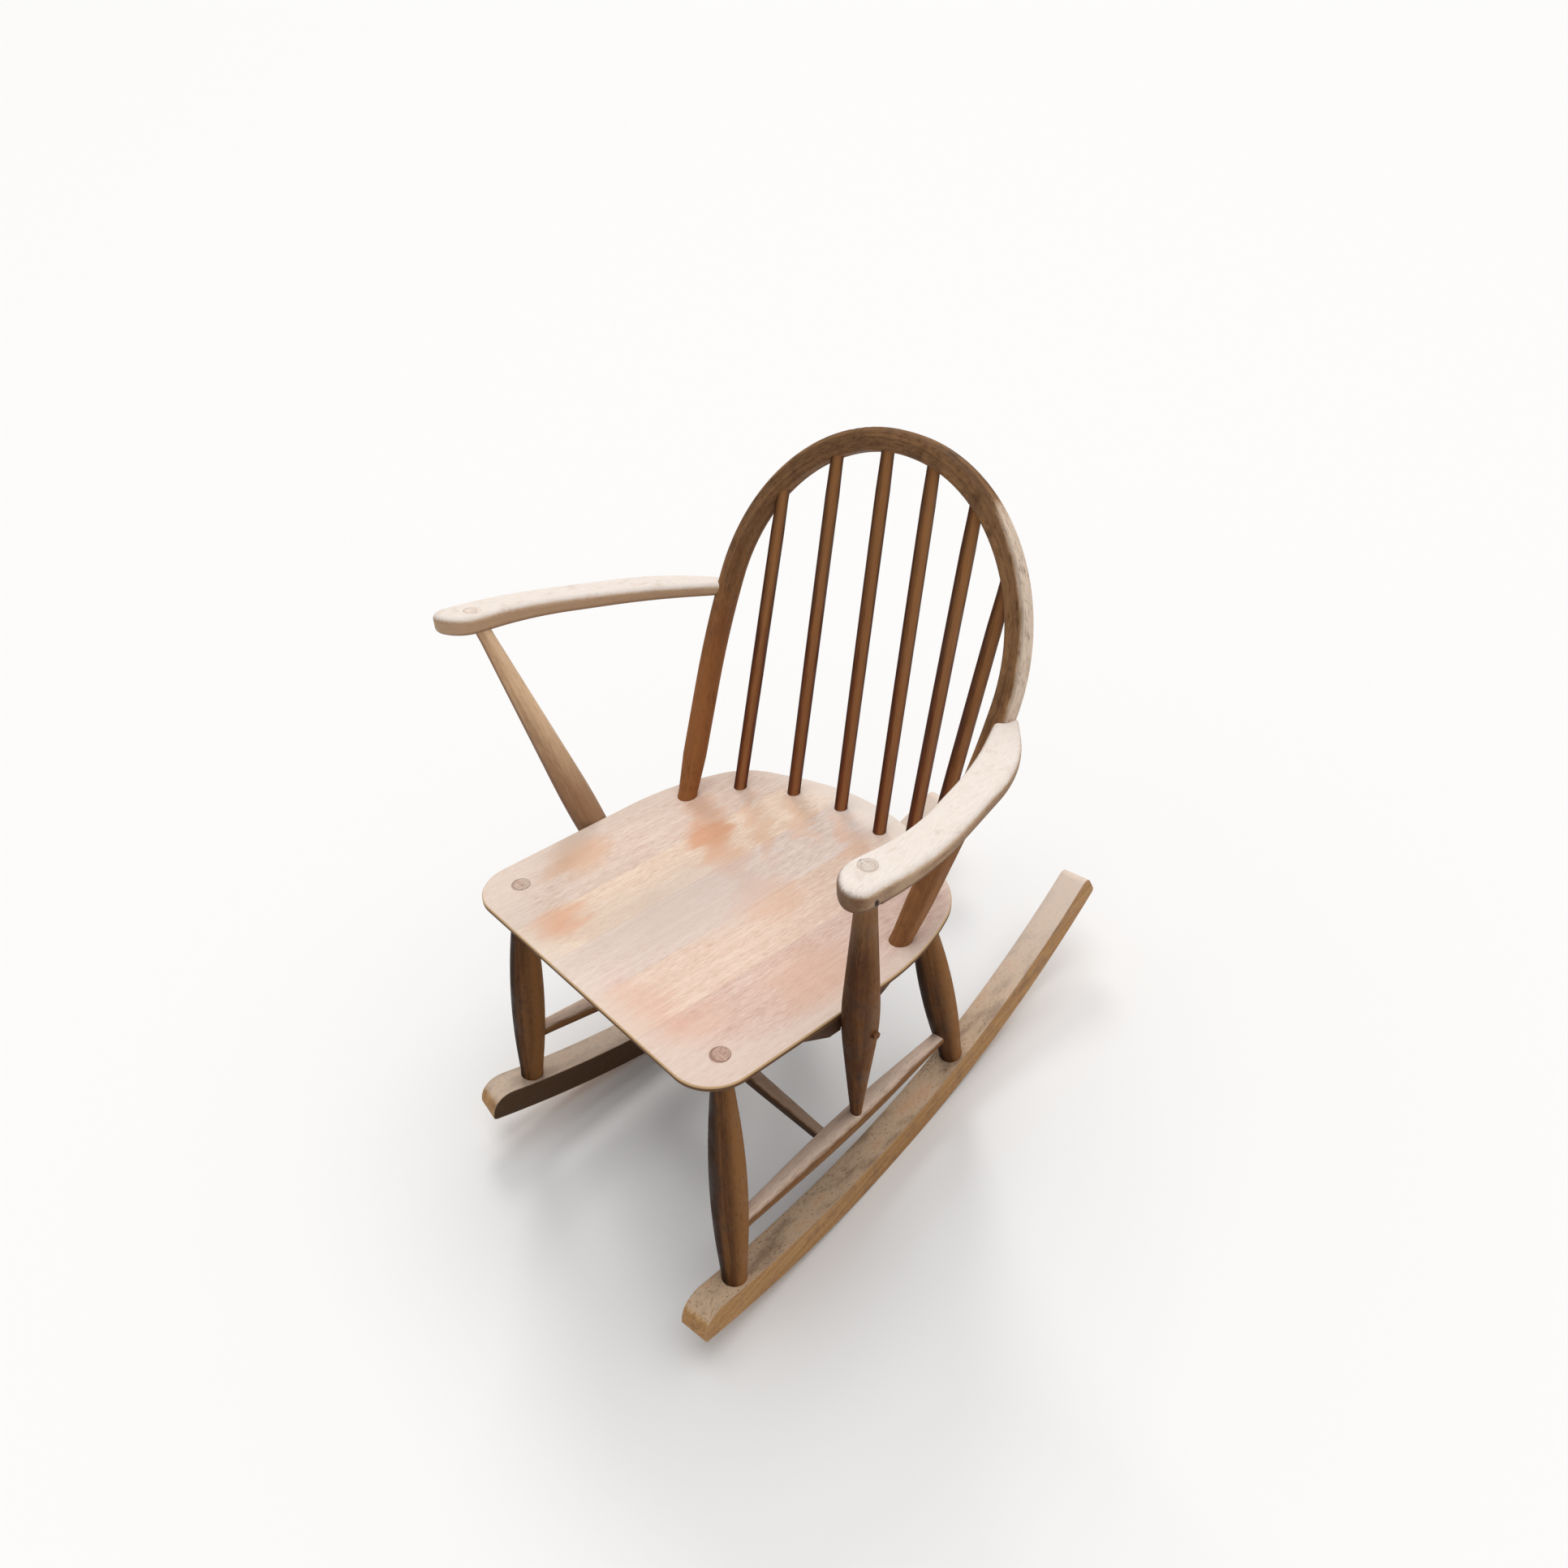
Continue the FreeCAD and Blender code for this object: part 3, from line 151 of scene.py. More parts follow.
class Bench:
    """One material in the making."""

    def __init__(self, name: str) -> None:
        """Starts an empty material.

        Args:
            name: The material's name.
        """
        self.material = bpy.data.materials.new(name)
        self.material.use_nodes = True
        self.tree = self.material.node_tree
        self.tree.nodes.clear()
        self.kept: dict[str, bpy.types.Node] = {}

    def node(self, kind: str, settings: Optional[dict[str, Any]] = None,
             inputs: Optional[dict[Union[str, int], Any]] = None) -> bpy.types.Node:
        """Adds a node.

        Args:
            kind: The node's type.
            settings: What is set on the node first.
            inputs: The values or links of its sockets, by name or number.

        Returns:
            The node.
        """
        made = self.tree.nodes.new(kind)
        for key, value in (settings or {}).items():
            setattr(made, key, value)
        for key, value in (inputs or {}).items():
            socket = made.inputs[key]
            if isinstance(value, Signal):
                self.tree.links.new(value.socket, socket)
            elif isinstance(value, tuple) and socket.type == "RGBA":
                socket.default_value = (*value[:3], 1.0)
            else:
                socket.default_value = value
        return made

    def out(self, kind: str, settings: Optional[dict[str, Any]] = None,
            inputs: Optional[dict[Union[str, int], Any]] = None,
            output: Union[str, int] = 0) -> Signal:
        """Adds a node and gives one of its outputs as a signal."""
        return Signal(self, self.node(kind, settings, inputs).outputs[output])

    def once(self, kind: str, output: str) -> Signal:
        """Gives an output of a node that the material needs only once.

        Args:
            kind: The node's type.
            output: The output's name.

        Returns:
            The output as a signal.
        """
        if kind not in self.kept:
            self.kept[kind] = self.node(kind)
        return Signal(self, self.kept[kind].outputs[output])

    def place(self) -> Signal:
        """Gives the place on the piece in the chair's own frame."""
        return self.once("ShaderNodeTexCoord", "Object")

    def normal(self) -> Signal:
        """Gives the direction the surface faces."""
        return self.once("ShaderNodeTexCoord", "Normal")

    def parts(self, vector: Signal) -> tuple[Signal, Signal, Signal]:
        """Splits a vector into its three numbers."""
        x, y, z = self.node("ShaderNodeSeparateXYZ", inputs={0: vector}).outputs
        return Signal(self, x), Signal(self, y), Signal(self, z)

    def vector(self, x: Number, y: Number, z: Number) -> Signal:
        """Joins three numbers into a vector."""
        return self.out("ShaderNodeCombineXYZ", inputs={0: x, 1: y, 2: z})

    def stretched(self, vector: Signal, x: float, y: float, z: float) -> Signal:
        """Scales a vector along its three directions."""
        return self.out("ShaderNodeVectorMath", {"operation": "MULTIPLY"}, {0: vector, 1: (x, y, z)})

    def shifted(self, vector: Signal, by: Vector) -> Signal:
        """Moves a vector."""
        return self.out("ShaderNodeVectorMath", {"operation": "ADD"}, {0: vector, 1: tuple(by)})

    def seen_from(self, vector: Signal, turn: Matrix, origin: Vector = Vector()) -> Signal:
        """Gives a place or a direction as a frame of its own sees it.

        Args:
            vector: The place or direction in the chair's frame.
            turn: The frame's turn.
            origin: The frame's origin, which a direction leaves out.

        Returns:
            The vector in that frame.
        """
        return self.out("ShaderNodeMapping", {"vector_type": "TEXTURE"},
                        {"Vector": vector, "Location": tuple(origin), "Rotation": tuple(turn.to_euler())})

    def dot(self, first: Signal, second: Union[Signal, Direction]) -> Signal:
        """Multiplies two vectors into one number."""
        return self.out("ShaderNodeVectorMath", {"operation": "DOT_PRODUCT"}, {0: first, 1: second}, "Value")

    def noise(self, vector: Signal, detail: float, roughness: float, distortion: float = 0.0) -> Signal:
        """Gives soft noise of about one blob per unit of the vector.

        Args:
            vector: Where the noise is read.
            detail: How many finer layers it has.
            roughness: How strong the finer layers are.
            distortion: How far it is swirled.

        Returns:
            A number round one half.
        """
        return self.out("ShaderNodeTexNoise", None, {
            "Vector": vector, "Scale": 1.0, "Detail": detail, "Roughness": roughness,
            "Distortion": distortion,
        })

    def blend(self, amount: Number, first: Any, second: Any, how: str = "MIX") -> Signal:
        """Mixes two colours.

        Args:
            amount: How much of the second is used.
            first: The first colour.
            second: The second colour.
            how: The way in which they mix.

        Returns:
            The mixed colour.
        """
        return self.out("ShaderNodeMix", {"data_type": "RGBA", "blend_type": how, "clamp_factor": True},
                        {0: amount, 6: first, 7: second}, 2)

    def finished(self, inputs: dict[str, Any]) -> bpy.types.Material:
        """Closes the material with its surface.

        Args:
            inputs: The values or links of the surface shader's sockets.

        Returns:
            The material.
        """
        surface = self.node("ShaderNodeBsdfPrincipled", None, inputs)
        output = self.node("ShaderNodeOutputMaterial")
        self.tree.links.new(surface.outputs[0], output.inputs[0])
        return self.material


# Grain

@dataclass(frozen=True)
class StraightGrain:
    """Grain that runs along the third direction of a frame of its own."""

    origin: Vector
    turn: Matrix

    def coordinates(self, bench: Bench) -> Signal:
        """Gives the place across, across and along the grain, in metres."""
        return bench.seen_from(bench.place(), self.turn, self.origin)


@dataclass(frozen=True)
class BentGrain:
    """Grain that follows the hoop: round its bow and down its two limbs."""

    origin: Vector
    turn: Matrix
    spring: float
    flare: float
    bow_share: float = 0.8

    def coordinates(self, bench: Bench) -> Signal:
        """Gives the place across, through and along the bent limb, in metres.

        Args:
            bench: The material in the making.

        Returns:
            The three measures as a vector.
        """
        across, through, up = bench.parts(bench.seen_from(bench.place(), self.turn, self.origin))
        above = (up - self.spring).larger(0.0)
        below = (self.spring - up).larger(0.0)
        side = across.size()
        radius = (side * side + above * above) ** 0.5
        angle = bench.out("ShaderNodeMath", {"operation": "ARCTAN2"}, {0: above, 1: across})
        along = angle * self.spring * self.bow_share + below * across.combine("SIGN", 0.0)
        return bench.vector(radius + below * self.flare, through, along)


def principal_axis(piece: bpy.types.Object) -> tuple[Vector, Vector]:
    """Finds the middle and the long direction of a piece.

    Args:
        piece: A mesh object that sits at the origin.

    Returns:
        Its middle and its long direction, which points up.
    """
    places = np.empty(len(piece.data.vertices) * 3)
    piece.data.vertices.foreach_get("co", places)
    places = places.reshape(-1, 3)
    low, high = places.min(axis=0), places.max(axis=0)
    middle = (low + high) / 2
    spread = places - places.mean(axis=0)
    values, vectors = np.linalg.eigh(spread.T @ spread)
    axis = Vector(vectors[:, values.argmax()])
    if axis.z < 0:
        axis.negate()
    return Vector(middle), axis.normalized()


def grain_along(piece: bpy.types.Object, seed: float) -> StraightGrain:
    """Runs the grain along a piece.

    Args:
        piece: The piece.
        seed: Shifts the pattern, so that two like pieces differ.

    Returns:
        The grain.
    """
    middle, axis = principal_axis(piece)
    turn = axis.to_track_quat("Z", "Y").to_matrix()
    return StraightGrain(middle + axis * seed, turn)


# Finishes

@dataclass(frozen=True)
class Tone:
    """The shades of one piece of wood."""

    pale: Colour
    body: Colour
    deep: Colour


@dataclass(frozen=True)
class Mark:
    """Another colour, laid over the wood where some measure goes from absent to full."""

    tone: Colour
    strength: float
    absent: float
    full: float

    def over(self, colour: Signal, measure: Signal, mask: Number = 1.0) -> Signal:
        """Lays the mark over a colour.

        Args:
            colour: The colour so far.
            measure: What says where the mark is.
            mask: What else holds it back.

        Returns:
            The marked colour.
        """
        amount = measure.between(self.absent, self.full) * mask * self.strength
        return measure.bench.blend(amount, colour, self.tone)


class Face(Enum):
    """Which faces of a piece are paled, partly by sun-fading and partly by painted light."""

    NONE = "none"
    UPWARD = "upward"
    OUTWARD = "outward"


@dataclass(frozen=True)
class Wood:
    """A finish: the wood's shades, its grain, its wear and what is left of its varnish.

    Sun-fading and painted light pale the named faces from dawn, where it starts, to noon, where it is full.
    Painted shade keeps the underside dark, and painted light turns one side golden while painted shade
    darkens the other.
    """

    tone: Tone
    bleached_and_lit: Colour = shade(214, 190, 160)
    bleach_and_light: float = 0.0
    faces: Face = Face.UPWARD
    dawn: float = 0.25
    noon: float = 0.8
    underside_shade: float = 0.0
    fibre: float = 1.1 * MILLIMETRE
    fibre_run: float = 26 * MILLIMETRE
    figure: float = 17 * MILLIMETRE
    figure_run: float = 240 * MILLIMETRE
    figure_depth: float = 0.7
    fleck: float = 0.35
    fibre_depth: float = 0.45
    blotch: float = 0.35
    blotch_size: float = 60 * MILLIMETRE
    edge: float = 0.0
    edge_radius: float = 1.2 * MILLIMETRE
    matt: float = 0.72
    satin: float = 0.5
    varnish: float = 0.12
    gloss: float = 0.2
    painted_side_light: float = 0.0
    relief: float = 0.12 * MILLIMETRE


RUSSET = Tone(shade(160, 110, 66), shade(120, 70, 38), shade(66, 32, 14))
CHESTNUT = Tone(shade(168, 126, 84), shade(129, 94, 63), shade(72, 46, 28))
SMOKED = Tone(shade(144, 98, 54), shade(96, 60, 32), shade(44, 25, 12))
UMBER = Tone(shade(140, 94, 50), shade(96, 58, 31), shade(46, 25, 11))
HONEY = Tone(shade(240, 206, 168), shade(212, 172, 134), shade(122, 82, 50))
GILDED = Tone(shade(214, 172, 120), shade(182, 136, 86), shade(122, 82, 48))
CREAM = Tone(shade(216, 186, 154), shade(176, 138, 104), shade(92, 62, 42))
CHALK = Tone(shade(242, 232, 223), shade(234, 222, 212), shade(206, 186, 172))
BIRCH = Tone(shade(206, 172, 152), shade(190, 156, 138), shade(132, 98, 80))

BOARD_WOOD = Wood(
    BIRCH, faces=Face.NONE, fleck=0.5, fibre=1.2 * MILLIMETRE, fibre_run=11 * MILLIMETRE, fibre_depth=0.75,
    figure=6 * MILLIMETRE, figure_run=90 * MILLIMETRE, figure_depth=0.5, blotch=0.3,
    blotch_size=34 * MILLIMETRE, varnish=0.0, relief=0.06 * MILLIMETRE,
)
HOOP_WOOD = Wood(
    CHESTNUT, bleached_and_lit=shade(234, 214, 194), bleach_and_light=0.9, faces=Face.OUTWARD, dawn=0.3, noon=0.98, fleck=0.7,
    fibre_run=12 * MILLIMETRE, fibre_depth=0.6, figure=7 * MILLIMETRE, figure_depth=0.5, blotch=0.55,
    blotch_size=34 * MILLIMETRE, varnish=0.03, gloss=0.12,
)
STICK_WOOD = Wood(
    RUSSET, bleached_and_lit=shade(166, 118, 78), bleach_and_light=0.3, dawn=0.05, noon=0.75, underside_shade=0.5,
    fibre_run=30 * MILLIMETRE, fibre_depth=0.6, figure=5 * MILLIMETRE, varnish=0.05, satin=0.45, gloss=0.12,
)
ARM_WOOD = Wood(
    CREAM, bleached_and_lit=shade(243, 233, 225), bleach_and_light=1.0, dawn=-0.05, noon=0.92, underside_shade=0.85, fleck=0.12,
    fibre_run=14 * MILLIMETRE, varnish=0.0,
)
TURNED_WOOD = Wood(
    SMOKED, bleached_and_lit=shade(176, 138, 96), bleach_and_light=0.5, dawn=0.3, noon=0.98, underside_shade=0.5, fleck=0.5,
    fibre_run=14 * MILLIMETRE, figure=8 * MILLIMETRE, figure_depth=0.45, blotch=0.5,
    blotch_size=34 * MILLIMETRE, varnish=0.03, gloss=0.12, painted_side_light=0.9,
)
POST_WOOD = replace(
    TURNED_WOOD, tone=UMBER, bleached_and_lit=shade(150, 112, 72), bleach_and_light=0.4, underside_shade=0.4, varnish=0.02, gloss=0.08,
    painted_side_light=0.5,
)
FADED_WOOD = Wood(
    HONEY, bleached_and_lit=shade(232, 204, 176), bleach_and_light=0.5, dawn=0.1, noon=0.95, underside_shade=0.3, varnish=0.02,
    figure=8 * MILLIMETRE, fibre_depth=0.3, blotch=0.3, painted_side_light=0.85,
)
STRETCHER_WOOD = Wood(
    SMOKED, bleached_and_lit=shade(242, 216, 196), bleach_and_light=0.95, dawn=0.15, noon=0.9, underside_shade=0.8, varnish=0.02,
    fibre_run=16 * MILLIMETRE, fibre_depth=0.7, figure=7 * MILLIMETRE, painted_side_light=0.5,
)
CROSS_WOOD = replace(
    STRETCHER_WOOD, bleached_and_lit=shade(220, 190, 166), bleach_and_light=0.8, dawn=0.45, noon=1.0, painted_side_light=0.8,
)
ROCKER_WOOD = Wood(
    GILDED, bleached_and_lit=shade(204, 178, 152), bleach_and_light=0.95, dawn=0.5, noon=0.85, fleck=1.0,
    fibre_run=7 * MILLIMETRE, fibre_depth=0.4, figure=6 * MILLIMETRE, figure_depth=0.4, blotch=0.5,
    blotch_size=22 * MILLIMETRE, edge=1.0, edge_radius=1.8 * MILLIMETRE, varnish=0.03,
)
PEG_WOOD = Wood(BIRCH, bleached_and_lit=shade(202, 170, 152), bleach_and_light=0.4, fleck=0.6)

# Painted light turns one side of turned pieces golden and painted shade darkens the other,
# and sun-fading and painted light pale the faces towards the sky
PAINTED_LIGHT_SIDE = (0.77, 0.64, 0.0)
SHADED_SIDE = (-0.9, 0.1, -0.4)
SKYWARD = (0.0, 0.12, 0.99)


# Where a patch's soft edge ends, as its squared distance in half widths
PATCH_EDGE = 1.5


@dataclass(frozen=True)
class Patch:
    """A soft oval of another colour on a flat face, set out in the seat's frame."""

    x: float
    y: float
    wide: float
    long: float
    colour: Colour
    strength: float
    turn: float = 0.0

    def mask(self, across: Signal, along: Signal) -> Signal:
        """Gives the oval's soft mask.

        Args:
            across: Place across the seat, in metres.
            along: Place from front to back, in metres.

        Returns:
            The patch's strength at each place.
        """
        c, s = math.cos(math.radians(self.turn)), math.sin(math.radians(self.turn))
        dx, dy = across - self.x * MILLIMETRE, along - self.y * MILLIMETRE
        u = (dx * c + dy * s) / (self.wide * MILLIMETRE)
        v = (dy * c - dx * s) / (self.long * MILLIMETRE)
        return (u * u + v * v).between(PATCH_EDGE, 0.0) * self.strength


@dataclass(frozen=True)
class WoodShop:
    """Turns a finish and a grain into a material; the seed shifts the broad stains."""

    finish: Wood
    grain: Union[StraightGrain, BentGrain]
    seed: float
    fibre_fade: Fade = (0.3, 0.68)
    fleck_fade: Fade = (0.56, 0.72)
    figure_fade: Fade = (0.38, 0.72)
    stain_fade: Fade = (0.52, 0.3)
    fleck_across: float = 0.6
    fleck_along: float = 1.8
    fleck_strength: float = 0.6
    stain_stretch: float = 1.4
    stain_start: float = 3.7
    underside_shade_fade: Fade = (0.15, -0.75)
    painted_light_fade: Fade = (0.1, 0.95)
    dim_fade: Fade = (-0.1, -0.6)
    shade_fade: Fade = (0.5, 0.95)
    shade_strength: float = 0.6
    bleach_fade: Fade = (0.62, 0.3)
    unbleached: float = 0.22
    paling: float = 0.6
    bleach_start: float = 0.15
    fibre_fray: float = 0.25
    stain_fray: float = 0.5
    worn_fade: Fade = (0.995, 0.92)
    shine_fade: Fade = (0.35, 0.62)
    bow_fade: Fade = (0.17, 0.27)
    side_fade: Fade = (0.3, 0.75)
    fibre_height: float = 0.6
    fleck_depth: float = 0.7
    figure_height: float = 0.3
    sun_roughness: float = 0.12
    fleck_roughness: float = 0.08
    roughest: float = 0.92
    lost_coat: float = 0.6
    coat_roughness: float = 0.32
    bevel_samples: int = 4

    def material(self, name: str, piece: "Piece") -> bpy.types.Material:
        """Builds the material.

        Args:
            name: The material's name.
            piece: The piece that adds marks of its own.

        Returns:
            The material.
        """
        bench = Bench(name)
        finish, tone = self.finish, self.finish.tone
        grain = self.grain.coordinates(bench)
        across, run = 1 / finish.fibre, 1 / finish.fibre_run
        fibres = bench.noise(bench.stretched(grain, across, across, run), detail=3.0, roughness=0.6)
        across, run = across * self.fleck_across, run * self.fleck_along
        flecks = bench.noise(bench.stretched(grain, across, across, run), detail=2.0, roughness=0.5)
        flecks = flecks.between(*self.fleck_fade)
        across, run = 1 / finish.figure, 1 / finish.figure_run
        figure = bench.noise(
            bench.stretched(grain, across, across, run), detail=2.0, roughness=0.55, distortion=0.6)
        stains = self.stains(bench)
        colour = bench.blend(fibres.between(*self.fibre_fade), tone.deep, tone.body)
        colour = bench.blend(1.0 - finish.fibre_depth, colour, tone.body)
        colour = bench.blend(figure.between(*self.figure_fade) * finish.figure_depth, colour, tone.pale)
        colour = bench.blend(stains.between(*self.stain_fade) * finish.blotch, colour, tone.deep)
        colour = self.sided(bench, colour)
        # The named faces are paled: sun-faded wood, and painted light from above
        unbleached = fibres.between(*self.bleach_fade) * self.unbleached
        bleached_and_lit = bench.blend(unbleached, finish.bleached_and_lit, tone.pale)
        sun = self.sunlight(bench, fibres, stains)
        if finish.faces is not Face.NONE:
            paled = sun.between(0.0, finish.bleach_and_light * self.paling) * self.paling
            colour = bench.blend(paled, colour, tone.pale)
            sun = sun.between(finish.bleach_and_light * self.bleach_start, finish.bleach_and_light) * finish.bleach_and_light
            colour = bench.blend(sun, colour, bleached_and_lit)
        colour = bench.blend(flecks * finish.fleck * self.fleck_strength, colour, tone.deep)
        colour = piece.marks(bench, colour, fibres)
        height = fibres * self.fibre_height - flecks * self.fleck_depth + figure * self.figure_height
        relief = {"Strength": 1.0, "Distance": finish.relief, "Height": height}
        if finish.edge > 0.0:
            settings, inputs = {"samples": self.bevel_samples}, {"Radius": finish.edge_radius}
            rounded = bench.out("ShaderNodeBevel", settings, inputs)
            flat = bench.once("ShaderNodeNewGeometry", "True Normal")
            worn = bench.dot(rounded, flat).between(*self.worn_fade) * finish.edge
            colour = bench.blend(worn * (stains * 0.6 + 0.5), colour, bleached_and_lit)
            relief["Normal"] = rounded
        shine = stains.between(*self.shine_fade)
        roughness = finish.satin + (finish.matt - finish.satin) * shine
        roughness = roughness + sun * self.sun_roughness + flecks * self.fleck_roughness
        return bench.finished({
            "Base Color": colour,
            "Roughness": roughness.smaller(self.roughest),
            "Normal": bench.out("ShaderNodeBump", None, relief),
            "Specular IOR Level": finish.gloss,
            "Coat Weight": (1.0 - sun) * (1.0 - shine * self.lost_coat) * finish.varnish,
            "Coat Roughness": self.coat_roughness,
        })

    def stains(self, bench: Bench) -> Signal:
        """Gives the broad stains, which differ from piece to piece with the seed.

        Args:
            bench: The material in the making.

        Returns:
            A number round one half.
        """
        spread = 1 / self.finish.blotch_size
        place = bench.stretched(bench.place(), spread * self.stain_stretch, spread, spread)
        start = Vector((self.seed, self.stain_start, self.seed * 2))
        return bench.noise(bench.shifted(place, start), detail=4.0, roughness=0.6)

    def sided(self, bench: Bench, colour: Signal) -> Signal:
        """Paints shade on the undersides, and paints light on one side and shade on the other.

        Args:
            bench: The material in the making.
            colour: The wood's colour so far.

        Returns:
            The colour with its dark and golden sides.
        """
        finish, tone = self.finish, self.finish.tone
        # Painted shade: faces that look down are darkened towards the deep tone
        if finish.underside_shade > 0.0:
            under = bench.parts(bench.normal())[2].between(*self.underside_shade_fade)
            colour = bench.blend(under * finish.underside_shade, colour, tone.deep)
        # Painted light on one side of the piece, painted shade on the other
        if finish.painted_side_light > 0.0:
            facing_light = bench.dot(bench.normal(), PAINTED_LIGHT_SIDE)
            colour = bench.blend(facing_light.between(*self.painted_light_fade) * finish.painted_side_light, colour, tone.pale)
            colour = bench.blend(facing_light.between(*self.dim_fade) * finish.painted_side_light, colour, tone.deep)
            shaded = bench.dot(bench.normal(), SHADED_SIDE).between(*self.shade_fade)
            colour = bench.blend(shaded * finish.painted_side_light * self.shade_strength, colour, tone.deep)
        return colour

    def sunlight(self, bench: Bench, fibres: Signal, stains: Signal) -> Signal:
        """Gives how far each place is paled, partly by sun-fading and partly by painted light.

        Args:
            bench: The material in the making.
            fibres: The fine fibres, which break up the rim of the paled part.
            stains: The broad stains.

        Returns:
            A number from 0 to the finish's strength of fading and painted light.
        """
        finish = self.finish
        if finish.faces is Face.NONE:
            return fibres * 0.0
        if finish.faces is Face.OUTWARD:
            toward = self.outward(bench)
        else:
            toward = bench.dot(bench.normal(), SKYWARD)
        ragged = (fibres - 0.5) * self.fibre_fray + (stains - 0.5) * self.stain_fray
        return (toward + ragged).between(finish.dawn, finish.noon) * finish.bleach_and_light

    def outward(self, bench: Bench) -> Signal:
        """Gives how far the surface of the hoop faces away from the middle of its bow.

        Args:
            bench: The material in the making.

        Returns:
            A number up to 1, which fades towards the top of the bow and down the limbs.
        """
        grain = self.grain
        across, _, up = bench.parts(bench.seen_from(bench.place(), grain.turn, grain.origin))
        away = bench.vector(across, 0.0, (up - grain.spring).larger(0.0))
        away = bench.out("ShaderNodeVectorMath", {"operation": "NORMALIZE"}, {0: away})
        height = up.between(*self.bow_fade) * bench.parts(away)[0].size().between(*self.side_fade)
        return bench.dot(bench.seen_from(bench.normal(), grain.turn), away) * height


# The chair's own frames

@dataclass(frozen=True)
class ChairFrames:
    """Where the seat and the hoop stand once the chair leans back at its balance, in metres and degrees."""

    tilt: float = 7.7
    seat_origin: Vector = Vector((0.0, -0.126, 0.33076))
    hoop_foot: float = 0.1226
    hoop_lean: float = 24.35
    hoop_spring: float = 0.251
    hoop_radius: float = 0.194
    hoop_flare: float = 0.1

    def seat_turn(self) -> Matrix:
        """Gives the turn from the seat's frame to the floor's."""
        return Matrix.Rotation(math.radians(-self.tilt), 3, "X")

    def on_floor(self, place: Vector) -> Vector:
        """Moves a place of the seat's frame to the floor's frame."""
        return self.seat_turn() @ place + self.seat_origin

    def seat_grain(self, shift: float) -> StraightGrain:
        """Runs the grain from the seat's front to its back."""
        turn = self.seat_turn() @ Matrix.Rotation(math.radians(-90), 3, "X")
        return StraightGrain(self.on_floor(Vector((0.0, shift, 0.0))), turn)

    def hoop_grain(self) -> BentGrain:
        """Runs the grain round the hoop."""
        turn = self.seat_turn() @ Matrix.Rotation(math.radians(-self.hoop_lean), 3, "X")
        origin = self.on_floor(Vector((0.0, self.hoop_foot, 0.0)))
        return BentGrain(origin, turn, self.hoop_spring, self.hoop_flare)


FRAMES = ChairFrames()


class Piece:
    """A sub-assembly that dresses nodes of the frame and may add marks of its own."""

    def marks(self, bench: Bench, colour: Signal, fibres: Signal) -> Signal:
        """Adds the sub-assembly's own marks to a colour; plain wood has none."""
        return colour

    def dress(self, name: str, shop: WoodShop) -> None:
        """Gives a node of the frame its material.

        Args:
            name: The node's name.
            shop: What makes the material.
        """
        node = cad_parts[name]
        node.data.materials.clear()
        node.data.materials.append(shop.material(name, self))
        log.info("dressed %s", name)

    def dress_along(self, name: str, finish: Wood, grain_seed: float, stain_seed: float) -> None:
        """Gives a node of the frame a material whose grain runs along it.

        Args:
            name: The node's name.
            finish: The finish.
            grain_seed: Shifts the grain.
            stain_seed: Shifts the broad stains.
        """
        grain = grain_along(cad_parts[name], grain_seed)
        self.dress(name, WoodShop(finish, grain, stain_seed))


